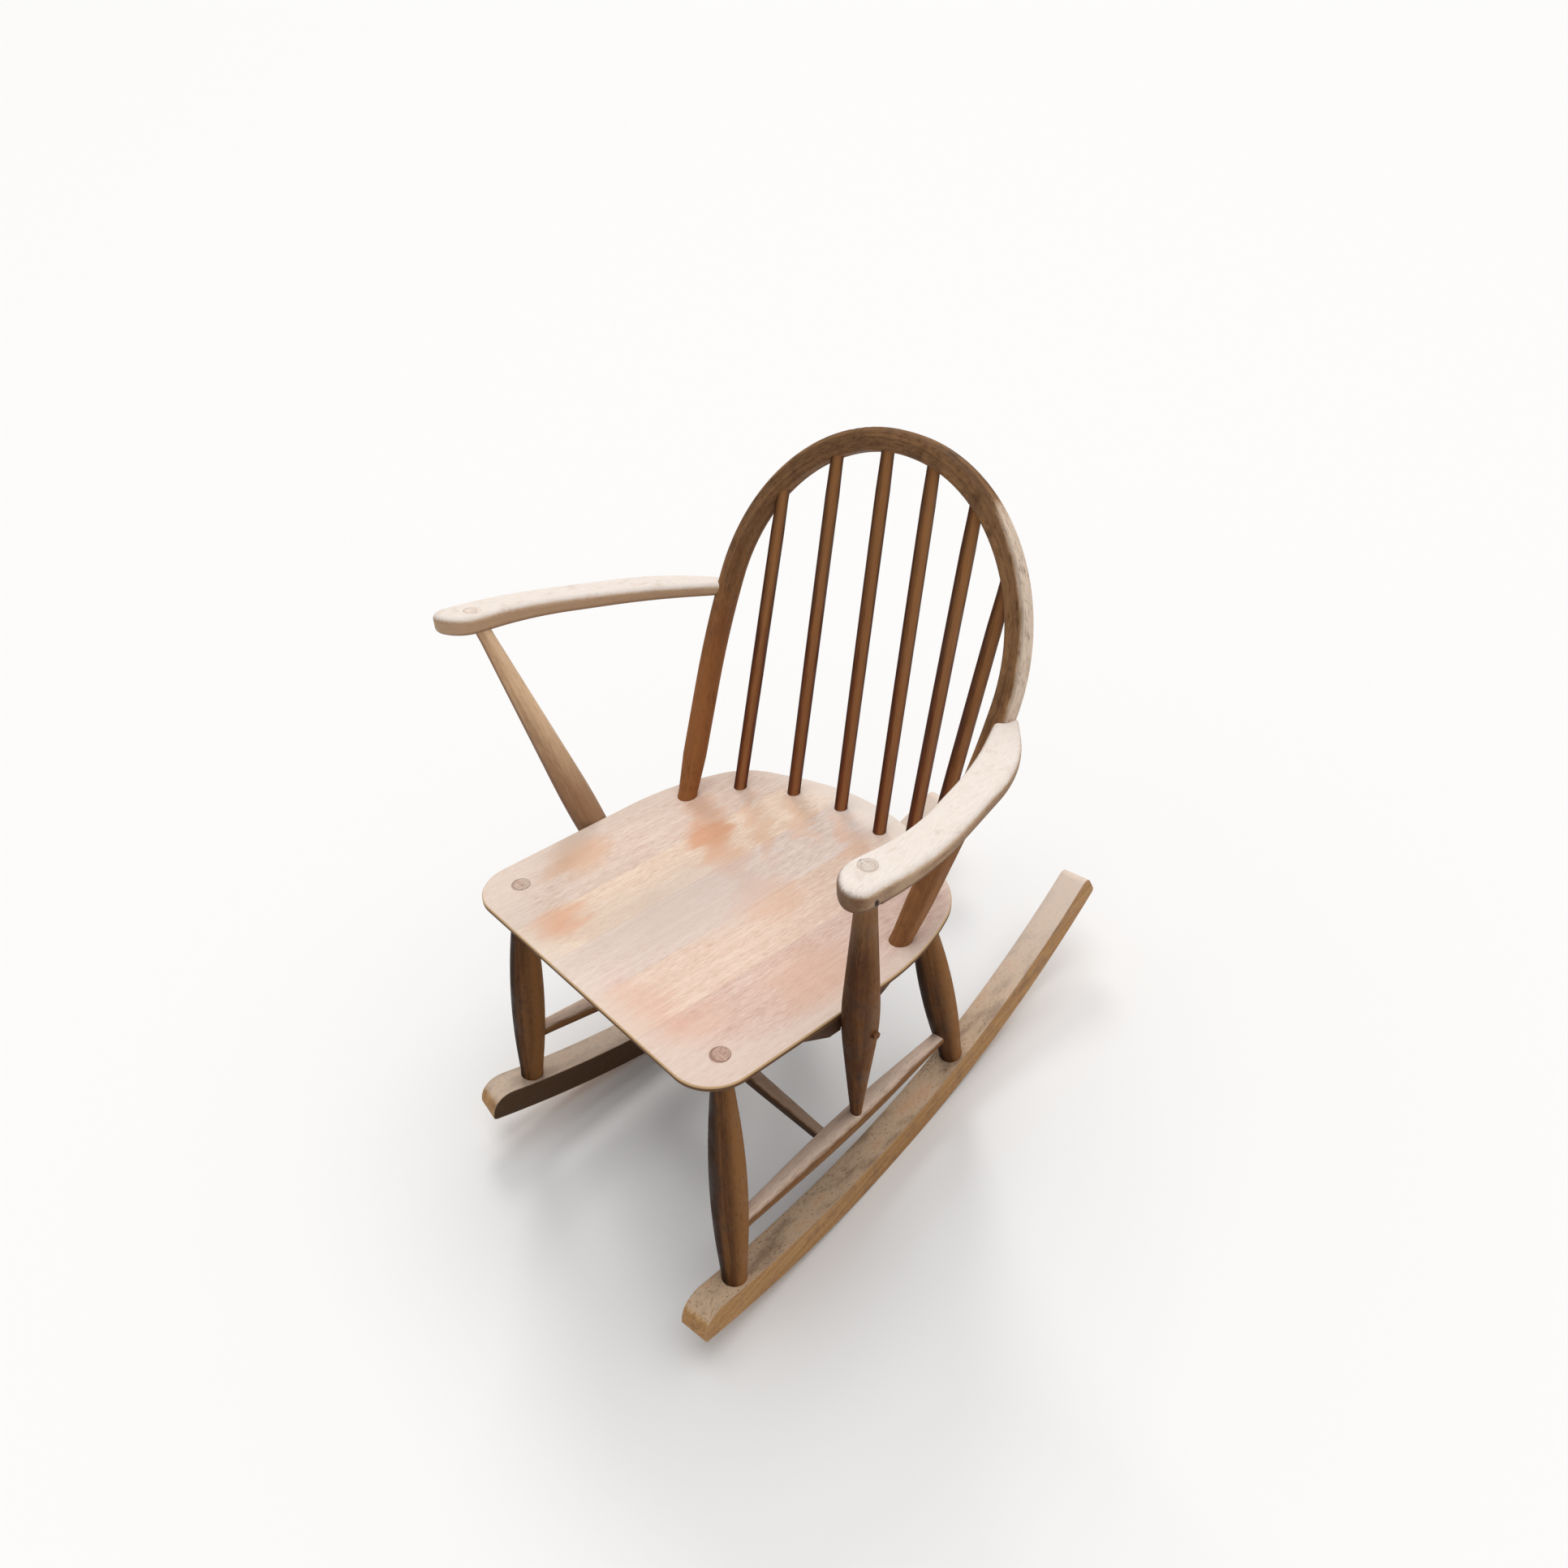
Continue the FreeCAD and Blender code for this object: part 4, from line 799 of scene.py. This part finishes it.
@dataclass
class Seat(Piece):
    """Five boards glued edge to edge, worn pale, with stains, remnants of an orange varnish and painted
    light and shade.
    """

    half_width: float = 0.201
    front: float = -0.147
    back: float = 0.262
    boards: tuple[Tone, ...] = (
        Tone(shade(248, 230, 217), shade(239, 218, 203), shade(206, 174, 156)),
        Tone(shade(254, 236, 217), shade(250, 228, 208), shade(216, 180, 154)),
        Tone(shade(250, 234, 224), shade(240, 221, 210), shade(206, 178, 164)),
        Tone(shade(250, 230, 213), shade(242, 217, 199), shade(212, 176, 154)),
        Tone(shade(244, 221, 209), shade(233, 206, 192), shade(200, 160, 142)),
    )
    stains_and_shadows: tuple[Patch, ...] = (
        # Painted shadows, warm-tinted, cast across the seat by the hoop's limb and the first three sticks
        Patch(-92, 98, 85, 26, shade(228, 174, 138), 0.7, turn=-22),
        Patch(-95, 92, 22, 30, shade(220, 150, 106), 0.5, turn=-18),
        Patch(-72, 145, 70, 14, shade(230, 186, 152), 0.55, turn=-27),
        Patch(-46, 186, 52, 13, shade(230, 188, 156), 0.55, turn=-27),
        Patch(10, 204, 58, 14, shade(230, 186, 156), 0.55, turn=-27),
        # Stains, and two greyer ovals in the middle
        Patch(-165, -30, 32, 42, shade(224, 178, 142), 0.7, turn=15),
        Patch(-85, -107, 25, 36, shade(226, 160, 120), 0.65),
        Patch(30, 70, 40, 36, shade(232, 184, 154), 0.5),
        Patch(150, 30, 44, 60, shade(226, 182, 158), 0.55),
        Patch(75, -120, 60, 36, shade(228, 178, 156), 0.45),
        Patch(120, -95, 26, 40, shade(228, 178, 154), 0.4),
        Patch(-15, 20, 62, 80, shade(218, 200, 189), 0.6),
        Patch(-25, -60, 60, 70, shade(214, 196, 180), 0.5),
    )
    sway: Spread = (60.0, 20.0, 20.0)
    sway_reach: float = 0.022
    ripple: Spread = (60.0, 16.0, 16.0)
    ripple_start: Vector = field(default_factory=lambda: Vector((7.0, 3.0, 0.0)))
    ripple_reach: float = 0.075
    top_fade: Fade = (-0.0012, -0.0002)
    streak_fade: Fade = (0.25, 0.6)
    streak_depth: float = 0.5
    streak_floor: float = 0.55
    corner_power: float = 4.0
    fray: float = 0.05
    back_fray: float = 0.01
    margin: Mark = Mark(shade(232, 216, 202), 0.5, 0.84, 1.0)
    # A paler band along the back: the worn rim, lifted with painted light where the hoop and sticks shade it
    lit_back_margin: Mark = Mark(shade(255, 244, 234), 0.7, 0.2, 0.262)
    # Down the seat's edge: a pale arris, partly wear and partly painted highlight, then painted shade on the
    # edge and darker painted shade underneath
    edge_light_and_shade: tuple[Mark, ...] = (
        Mark(shade(210, 174, 126), 1.0, -0.00002, -0.0006),
        Mark(shade(104, 72, 46), 1.0, -0.0014, -0.0026),
        Mark(shade(76, 50, 32), 1.0, -0.0055, -0.0075),
    )

    def marks(self, bench: Bench, colour: Signal, fibres: Signal) -> Signal:
        """Adds varnish, stains and painted shadows of the hoop and sticks, greyer ovals in the middle and
        pale margins, with painted light at the back, and a painted highlight and painted shade at the edge.

        Args:
            bench: The material in the making.
            colour: The wood's colour so far.
            fibres: The fine fibres.

        Returns:
            The colour with its marks.
        """
        flat = bench.seen_from(bench.place(), FRAMES.seat_turn(), FRAMES.seat_origin)
        across, along, up = bench.parts(flat)
        sway = bench.noise(bench.stretched(flat, *self.sway), detail=2.0, roughness=0.5) - 0.5
        ripple_place = bench.shifted(bench.stretched(flat, *self.ripple), self.ripple_start)
        ripple = bench.noise(ripple_place, detail=3.0, roughness=0.55) - 0.5
        swayed, rippled = across + sway * self.sway_reach, along + ripple * self.ripple_reach
        top = up.between(*self.top_fade)
        streaks = fibres.between(*self.streak_fade) * self.streak_depth + self.streak_floor
        # Stains and the painted shadows of the hoop and sticks
        for patch in self.stains_and_shadows:
            colour = bench.blend(patch.mask(swayed, rippled) * streaks * top, colour, patch.colour)
        colour = self.margin.over(colour, self.toward_rim(across, along) + fibres * self.fray, top)
        # Painted light along the back, over the paler worn rim
        colour = self.lit_back_margin.over(colour, along + fibres * self.back_fray, top)
        # Painted highlight on the arris, painted shade down the edge and under the seat
        for edge in self.edge_light_and_shade:
            colour = edge.over(colour, up)
        return colour

    def toward_rim(self, across: Signal, along: Signal) -> Signal:
        """Measures the way from the seat's middle to its rounded outline.

        Args:
            across: Place across the seat, in metres.
            along: Place from front to back, in metres.

        Returns:
            A number from 0 in the middle to about 1 at the outline.
        """
        half_depth = (self.back - self.front) / 2
        dx = across.size() / self.half_width
        dy = (along - (self.front + half_depth)).size() / half_depth
        return (dx ** self.corner_power + dy ** self.corner_power) ** (1 / self.corner_power)

    def build(self) -> None:
        """Dresses the five boards."""
        for index, tone in enumerate(self.boards):
            shop = WoodShop(replace(BOARD_WOOD, tone=tone), FRAMES.seat_grain(0.37 * index), 1.7 * index)
            self.dress(f"seat_board_{index + 1}", shop)


@dataclass
class Hoop(Piece):
    """The bent hoop: worn and redder on its lower limbs, darker along the rims of its front."""

    seat_level: float = 0.33
    mottle: Spread = (90.0, 90.0, 34.0)
    mottle_reach: float = 0.16
    limb_fade: Fade = (0.26, 0.08)
    far_fade: Fade = (0.1, -0.1)
    limb_tone: Colour = shade(164, 104, 58)
    limb_strength: float = 0.4
    limb_cover: float = 0.75
    grime_and_shade: Mark = Mark(shade(58, 38, 22), 0.3, 0.98, 0.72)
    front_fade: Fade = (0.3, 0.75)
    rims: Mark = Mark(shade(58, 38, 22), 0.6, 0.0075, 0.0125)
    rim_sway: float = 0.004

    def marks(self, bench: Bench, colour: Signal, fibres: Signal) -> Signal:
        """Warms the lower limbs and darkens the rims of the front.

        Args:
            bench: The material in the making.
            colour: The wood's colour so far.
            fibres: The fine fibres.

        Returns:
            The colour with its marks.
        """
        grain = FRAMES.hoop_grain()
        reach = bench.parts(grain.coordinates(bench))[0]
        x, _, z = bench.parts(bench.place())
        mottle = bench.noise(bench.stretched(bench.place(), *self.mottle), detail=3.0, roughness=0.65)
        low = (z - self.seat_level + (mottle - 0.5) * self.mottle_reach).between(*self.limb_fade)
        far = x.between(*self.far_fade) * self.limb_strength + self.limb_strength
        colour = bench.blend(low * far, colour, self.limb_tone)
        colour = self.grime_and_shade.over(colour, fibres + mottle)
        forward = tuple(grain.turn @ Vector((0.0, -1.0, 0.0)))
        front = bench.dot(bench.normal(), forward).between(*self.front_fade)
        off_middle = (reach - FRAMES.hoop_radius).size() + (fibres - 0.5) * self.rim_sway
        return self.rims.over(colour, off_middle, front * (1.0 - low * self.limb_cover))

    def build(self) -> None:
        """Dresses the hoop."""
        self.dress("hoop", WoodShop(HOOP_WOOD, FRAMES.hoop_grain(), 5.0))


@dataclass
class Sticks(Piece):
    """Six sticks, golden brown above and redder below, with a painted highlight towards the camera and
    painted shade at the flanks.
    """

    sticks: int = 6
    seat_level: float = 0.33
    highlight_side: Direction = (0.77, -0.64, 0.0)
    upper: Mark = Mark(shade(134, 96, 54), 0.5, 0.12, 0.3)
    lower: Mark = Mark(shade(122, 56, 26), 0.5, 0.2, 0.02)
    painted_highlight: Mark = Mark(shade(180, 126, 80), 0.6, 0.78, 1.0)
    painted_flank_shade: Mark = Mark(shade(64, 28, 12), 1.0, 0.88, 0.4)
    behind_fade: Fade = (-0.7, 0.2)
    behind_gain: float = 0.45
    behind_floor: float = 0.4
    fray: float = 0.1
    highlight_fray: float = 0.2

    def marks(self, bench: Bench, colour: Signal, fibres: Signal) -> Signal:
        """Turns the wood golden towards the top and red towards the foot, with a painted highlight and
        painted shade.

        Args:
            bench: The material in the making.
            colour: The wood's colour so far.
            fibres: The fine fibres.

        Returns:
            The colour with its marks.
        """
        height = bench.parts(bench.place())[2] - self.seat_level + (fibres - 0.5) * self.fray
        colour = self.upper.over(colour, height)
        colour = self.lower.over(colour, height)
        # Painted highlight on the side that faces the camera, painted shade on the flanks beside it
        toward = bench.dot(bench.normal(), self.highlight_side) + (fibres - 0.5) * self.highlight_fray
        colour = self.painted_highlight.over(colour, toward)
        behind = toward.between(*self.behind_fade) * self.behind_gain + self.behind_floor
        return self.painted_flank_shade.over(colour, toward, behind)

    def build(self) -> None:
        """Dresses the sticks."""
        for index in range(1, self.sticks + 1):
            self.dress_along(f"back_stick_{index}", STICK_WOOD, 0.21 * index, 2.3 * index)


@dataclass
class PegEnds(Piece):
    """Pieces whose round end shows in the face that they pass through."""

    radius: float = 0.010
    middle: Vector = field(default_factory=Vector)
    axis: Vector = field(default_factory=Vector)
    end_tone: Colour = shade(198, 164, 148)
    ring_tone: Colour = shade(128, 92, 76)
    ring: float = 0.85
    ring_share: float = 0.94
    ring_fade: Fade = (0.0014, 0.0004)
    pith: float = 0.6
    pores: Spread = (520.0, 260.0, 40.0)
    pore_fade: Fade = (0.45, 0.72)
    end_fade: Fade = (0.86, 0.94)
    head_fade: Fade = (0.0, 0.02)
    fray: float = 0.08
    foot: float = 0.0
    foot_mark: Mark = Mark(shade(128, 84, 52), 1.0, 0.48, 0.34)
    crown: float = 0.0
    crown_mark: Mark = Mark(shade(150, 112, 76), 1.0, 0.44, 0.56)

    def marks(self, bench: Bench, colour: Signal, fibres: Signal) -> Signal:
        """Adds end grain and a dark ring on the end of the peg.

        Args:
            bench: The material in the making.
            colour: The wood's colour so far.
            fibres: The fine fibres.

        Returns:
            The colour with its marks.
        """
        height = bench.parts(bench.place())[2] + (fibres - 0.5) * self.fray
        colour = self.foot_mark.over(colour, height, self.foot)
        colour = self.crown_mark.over(colour, height, self.crown)
        turn = self.axis.to_track_quat("Z", "Y").to_matrix()
        local = bench.seen_from(bench.place(), turn, self.middle)
        x, y, z = bench.parts(local)
        reach = (x * x + y * y) ** 0.5
        end = bench.dot(bench.normal(), tuple(self.axis)).between(*self.end_fade)
        end = end * z.between(*self.head_fade)
        pores = bench.noise(bench.stretched(local, *self.pores), detail=3.0, roughness=0.65)
        pores = pores.between(*self.pore_fade)
        colour = bench.blend(end, colour, bench.blend(pores * self.pith, self.end_tone, self.ring_tone))
        ring = (reach - self.radius * self.ring_share).size().between(*self.ring_fade)
        return bench.blend(end * ring * self.ring, colour, self.ring_tone)


@dataclass
class Underframe(Piece):
    """Legs, arm posts and stretchers, all turned."""

    leg_pegs: tuple[PegEnds, PegEnds] = (
        PegEnds(radius=0.010, end_tone=shade(198, 166, 150), ring=0.65, pith=0.6),
        PegEnds(radius=0.010, end_tone=shade(210, 188, 173), ring=0.45, pith=0.5),
    )
    post_finishes: tuple[Wood, Wood] = (POST_WOOD, FADED_WOOD)
    post_head: PegEnds = field(default_factory=lambda: PegEnds(
        radius=0.0062, end_tone=shade(240, 230, 221), ring_tone=shade(186, 162, 150), ring=0.55, pith=0.25))
    near_crown: float = 0.6
    far_foot: float = 0.7

    def build(self) -> None:
        """Dresses the turned pieces."""
        for number, side in enumerate(SIDES):
            for kind in ("front_leg", "rear_leg"):
                self.turned(f"{kind}_{side}", self.leg_pegs[number], TURNED_WOOD, 0.3 * number)
            head = replace(self.post_head, foot=self.far_foot * number, crown=self.near_crown * (1 - number))
            self.turned(f"arm_post_{side}", head, self.post_finishes[number], 0.3 * number + 0.1)
            self.turned(f"side_stretcher_{side}", Piece(), STRETCHER_WOOD, 0.4 * number)
        self.turned("cross_stretcher", Piece(), CROSS_WOOD, 0.15)

    def turned(self, name: str, ends: Piece, finish: Wood, seed: float) -> None:
        """Dresses one turned piece.

        Args:
            name: The node's name.
            ends: What adds the marks of its ends.
            finish: Its finish.
            seed: Shifts its grain.
        """
        if isinstance(ends, PegEnds):
            middle, axis = principal_axis(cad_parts[name])
            ends = replace(ends, middle=middle, axis=axis)
        ends.dress_along(name, finish, seed, 13.7 * seed + 1.1)


@dataclass
class Arms(Piece):
    """Two bowed arms, pale on top from sun-fading and painted light."""

    near_fade: Fade = (-0.05, 0.05)
    far_share: float = 0.3
    specks: Spread = (420.0, 260.0, 420.0)
    tip_side: Direction = (-0.2, -0.78, -0.6)
    tip_stain_and_shade: Mark = Mark(shade(94, 60, 36), 0.72, -0.5, 0.4)
    tip_fray: float = 0.9
    # Painted shade on the faces of the near arm that look down
    grime_and_shade: Mark = Mark(shade(94, 60, 36), 0.6, 0.2, -0.55)
    underside_shade_fray: float = 1.2
    smudges: Spread = (60.0, 38.0, 60.0)
    smudge_fade: Fade = (0.52, 0.72)
    smudge_strength: float = 0.3
    smudge: Colour = shade(206, 182, 168)
    golden: Mark = Mark(shade(206, 174, 142), 0.9, 0.8, 0.1)
    golden_fray: float = 0.5
    far_tip_side: Direction = (-0.75, -0.35, -0.56)
    far_tip_stain_and_shade: Mark = Mark(shade(94, 60, 36), 1.2, 0.35, 0.8)
    far_tip_fray: float = 0.3
    # Painted shade on the faces of the far arm that look down
    far_underside_shade: Mark = Mark(shade(120, 88, 62), 0.9, -0.05, -0.6)
    # Where the painted shade of the pin hole sits, and its shape
    pin_hole_place: Vector = field(default_factory=lambda: Vector((0.3145, -0.1486, 0.5758)))
    pin_hole_shade: Mark = Mark(shade(38, 24, 16), 0.95, 0.0034, 0.0017)
    pin_hole_shape: tuple[float, float] = (1.3, 0.6)
    stain_fray: float = 0.002

    def marks(self, bench: Bench, colour: Signal, fibres: Signal) -> Signal:
        """Adds the stained ends with painted shade, painted shade underneath, faint smudges and painted
        shade for the pin hole.

        Args:
            bench: The material in the making.
            colour: The wood's colour so far.
            fibres: The fine fibres; not used here.

        Returns:
            The colour with its marks.
        """
        place, normal = bench.place(), bench.normal()
        near = bench.parts(place)[0].between(*self.near_fade) * (1.0 - self.far_share) + self.far_share
        far = 1.0 - near
        speckle = bench.noise(bench.stretched(place, *self.specks), detail=2.0, roughness=0.6) - 0.5
        upward = bench.parts(normal)[2]
        toward_tip = bench.dot(normal, self.tip_side)
        # Darker front end: stained wood, deepened with painted shade on faces that turn down and forward
        colour = self.tip_stain_and_shade.over(colour, toward_tip + speckle * self.tip_fray, near)
        # Painted shade: the near arm darkens on faces that look down
        colour = self.grime_and_shade.over(colour, upward + speckle * self.underside_shade_fray, near)
        wear = bench.noise(bench.stretched(place, *self.smudges), detail=4.0, roughness=0.7)
        smudged = wear.between(*self.smudge_fade) * self.smudge_strength
        colour = bench.blend(smudged, colour, self.smudge, "MULTIPLY")
        colour = self.golden.over(colour, upward + speckle * self.golden_fray, far)
        toward_far_tip = bench.dot(normal, self.far_tip_side)
        # Darker end of the far arm: stained wood, deepened with painted shade on faces that turn down and
        # outward
        colour = self.far_tip_stain_and_shade.over(colour, toward_far_tip + speckle * self.far_tip_fray, far)
        # Painted shade: the far arm darkens on faces that look down
        colour = self.far_underside_shade.over(colour, upward, far)
        # Painted shade: a small dark spot for the shade inside the pin hole
        x, y, z = bench.parts(bench.shifted(place, -self.pin_hole_place))
        along, upright = self.pin_hole_shape
        reach = (x * x + y * y * along + z * z * upright) ** 0.5
        return self.pin_hole_shade.over(colour, reach + speckle * self.stain_fray)

    def build(self) -> None:
        """Dresses the arms."""
        for number, side in enumerate(SIDES):
            self.dress_along(f"arm_{side}", ARM_WOOD, 0.5 * number, 3.3 * number + 1)


@dataclass
class Rockers(Piece):
    """Two curved rockers, grey and speckled on top and golden at the sides."""

    inner: Mark = Mark(shade(66, 44, 28), 0.92, 0.35, 0.85)
    inner_fray: float = 0.3
    top_fade: Fade = (0.6, 0.9)
    smears: Spread = (48.0, 18.0, 18.0)
    smear_fray: float = 0.22
    dark_smear: Mark = Mark(shade(118, 90, 70), 0.65, 0.44, 0.7)
    warm_smear: Mark = Mark(shade(206, 160, 124), 0.6, 0.46, 0.3)
    tail: Mark = Mark(shade(240, 222, 208), 0.75, 0.05, 0.35)
    far_side: Mark = Mark(shade(240, 224, 210), 0.35, 0.0, -0.1)

    def marks(self, bench: Bench, colour: Signal, fibres: Signal) -> Signal:
        """Darkens the sides that face inward, and makes the top paler towards the tail.

        Args:
            bench: The material in the making.
            colour: The wood's colour so far.
            fibres: The fine fibres.

        Returns:
            The colour with its marks.
        """
        x, y, _ = bench.parts(bench.place())
        nx, _, nz = bench.parts(bench.normal())
        inward = x.combine("SIGN", 0.0) * nx * -1.0
        colour = self.inner.over(colour, inward + (fibres - 0.5) * self.inner_fray)
        top = nz.between(*self.top_fade)
        smears = bench.noise(bench.stretched(bench.place(), *self.smears), detail=3.0, roughness=0.55)
        smears = smears + (fibres - 0.5) * self.smear_fray
        colour = self.dark_smear.over(colour, smears, top)
        colour = self.warm_smear.over(colour, smears, top)
        colour = self.tail.over(colour, y, top)
        return self.far_side.over(colour, x, top)

    def build(self) -> None:
        """Dresses the rockers."""
        for number, side in enumerate(SIDES):
            self.dress_along(f"rocker_{side}", ROCKER_WOOD, 0.7 * number, 2.9 * number + 2)


@dataclass
class Pegs(Piece):
    """Wedges in the split pegs, and dowels."""

    finishes: tuple[tuple[str, Wood], ...] = (
        ("front_leg_wedge", PEG_WOOD),
        ("arm_post_wedge", Wood(CHALK, faces=Face.NONE, fleck=0.1)),
        ("seat_edge_dowel", POST_WOOD),
        ("arm_dowel", PEG_WOOD),
    )

    def build(self) -> None:
        """Dresses the wedges and dowels."""
        for kind, finish in self.finishes:
            for side in SIDES:
                self.dress_along(f"{kind}_{side}", finish, 0.2, 1.0)


# Studio

@dataclass(frozen=True)
class Lamp:
    """A soft, distant light."""

    name: str
    toward: Direction
    strength: float
    softness: float
    colour: Colour

    def build(self) -> None:
        """Adds the light, whose softness is the angle that it fills, in degrees."""
        data = bpy.data.lights.new(self.name, "SUN")
        data.energy = self.strength
        data.angle = math.radians(self.softness)
        data.color = self.colour
        lamp = bpy.data.objects.new(self.name, data)
        lamp.rotation_euler = Vector(self.toward).to_track_quat("Z", "Y").to_euler()
        bpy.context.scene.collection.objects.link(lamp)


@dataclass
class Studio:
    """Floor, light and camera."""

    floor_side: float = 60.0
    floor_tone: Colour = (0.96, 0.96, 0.96)
    floor_roughness: float = 0.9
    lamps: tuple[Lamp, ...] = (
        Lamp("overhead", (0.05, 0.25, 1.0), 1.55, 60.0, (1.0, 0.99, 0.98)),
        Lamp("key", (-0.59, 0.467, 0.657), 0.6, 16.0, (1.0, 0.98, 0.95)),
    )
    surround: float = 0.42
    focal_pixels: float = 1640.87
    sensor: float = 36.0
    clip_start: float = 0.05
    azimuth: float = 50.0
    elevation: float = 35.0998
    distance: float = 1.525742
    roll: float = -2.51159
    target: Vector = field(default_factory=lambda: Vector((-0.109071, 0.216069, 0.0)))

    def camera(self) -> None:
        """Places the camera from its angles about the seat's frame."""
        azimuth, elevation, roll = map(math.radians, (self.azimuth, self.elevation, self.roll))
        out = math.cos(elevation)
        back = Vector((math.sin(azimuth) * out, -math.cos(azimuth) * out, math.sin(elevation)))
        level = (-back).cross(Vector((0, 0, 1))).normalized()
        up = level.cross(-back)
        right = math.cos(roll) * level + math.sin(roll) * up
        upright = -math.sin(roll) * level + math.cos(roll) * up
        turn = FRAMES.seat_turn() @ Matrix((right, upright, back)).transposed()
        place = FRAMES.on_floor(self.target + back * self.distance)
        data = bpy.data.cameras.new("camera")
        data.sensor_width = self.sensor
        data.lens = self.focal_pixels / PICTURE_SIDE * self.sensor
        data.clip_start = self.clip_start
        camera = bpy.data.objects.new("camera", data)
        camera.matrix_world = Matrix.Translation(place) @ turn.to_4x4()
        bpy.context.scene.collection.objects.link(camera)
        bpy.context.scene.camera = camera

    def floor(self) -> None:
        """Lays a plain pale floor."""
        mesh = bpy.data.meshes.new("floor")
        shell = bmesh.new()
        bmesh.ops.create_grid(shell, x_segments=1, y_segments=1, size=self.floor_side / 2)
        shell.to_mesh(mesh)
        shell.free()
        surface = {"Base Color": self.floor_tone, "Roughness": self.floor_roughness}
        mesh.materials.append(Bench("floor").finished(surface))
        floor = bpy.data.objects.new("floor", mesh)
        bpy.context.scene.collection.objects.link(floor)

    def light(self) -> None:
        """Lights the chair from above and from behind on its far side."""
        for lamp in self.lamps:
            lamp.build()
        world = bpy.data.worlds.new("world")
        world.use_nodes = True
        background = world.node_tree.nodes["Background"]
        background.inputs[0].default_value = (1.0, 1.0, 1.0, 1.0)
        background.inputs[1].default_value = self.surround
        bpy.context.scene.world = world
        bpy.context.scene.view_settings.view_transform = "Standard"

    def build(self) -> None:
        """Sets up the studio."""
        self.camera()
        self.floor()
        self.light()


def main() -> None:
    """Dresses the chair and sets up the studio."""
    logging.basicConfig(level=logging.INFO, format="%(name)s: %(message)s")
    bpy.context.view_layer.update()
    for part in (Seat(), Hoop(), Sticks(), Arms(), Underframe(), Rockers(), Pegs()):
        part.build()
        log.info("built %s", type(part).__name__)
    Studio().build()


if __name__ == "__main__":
    main()
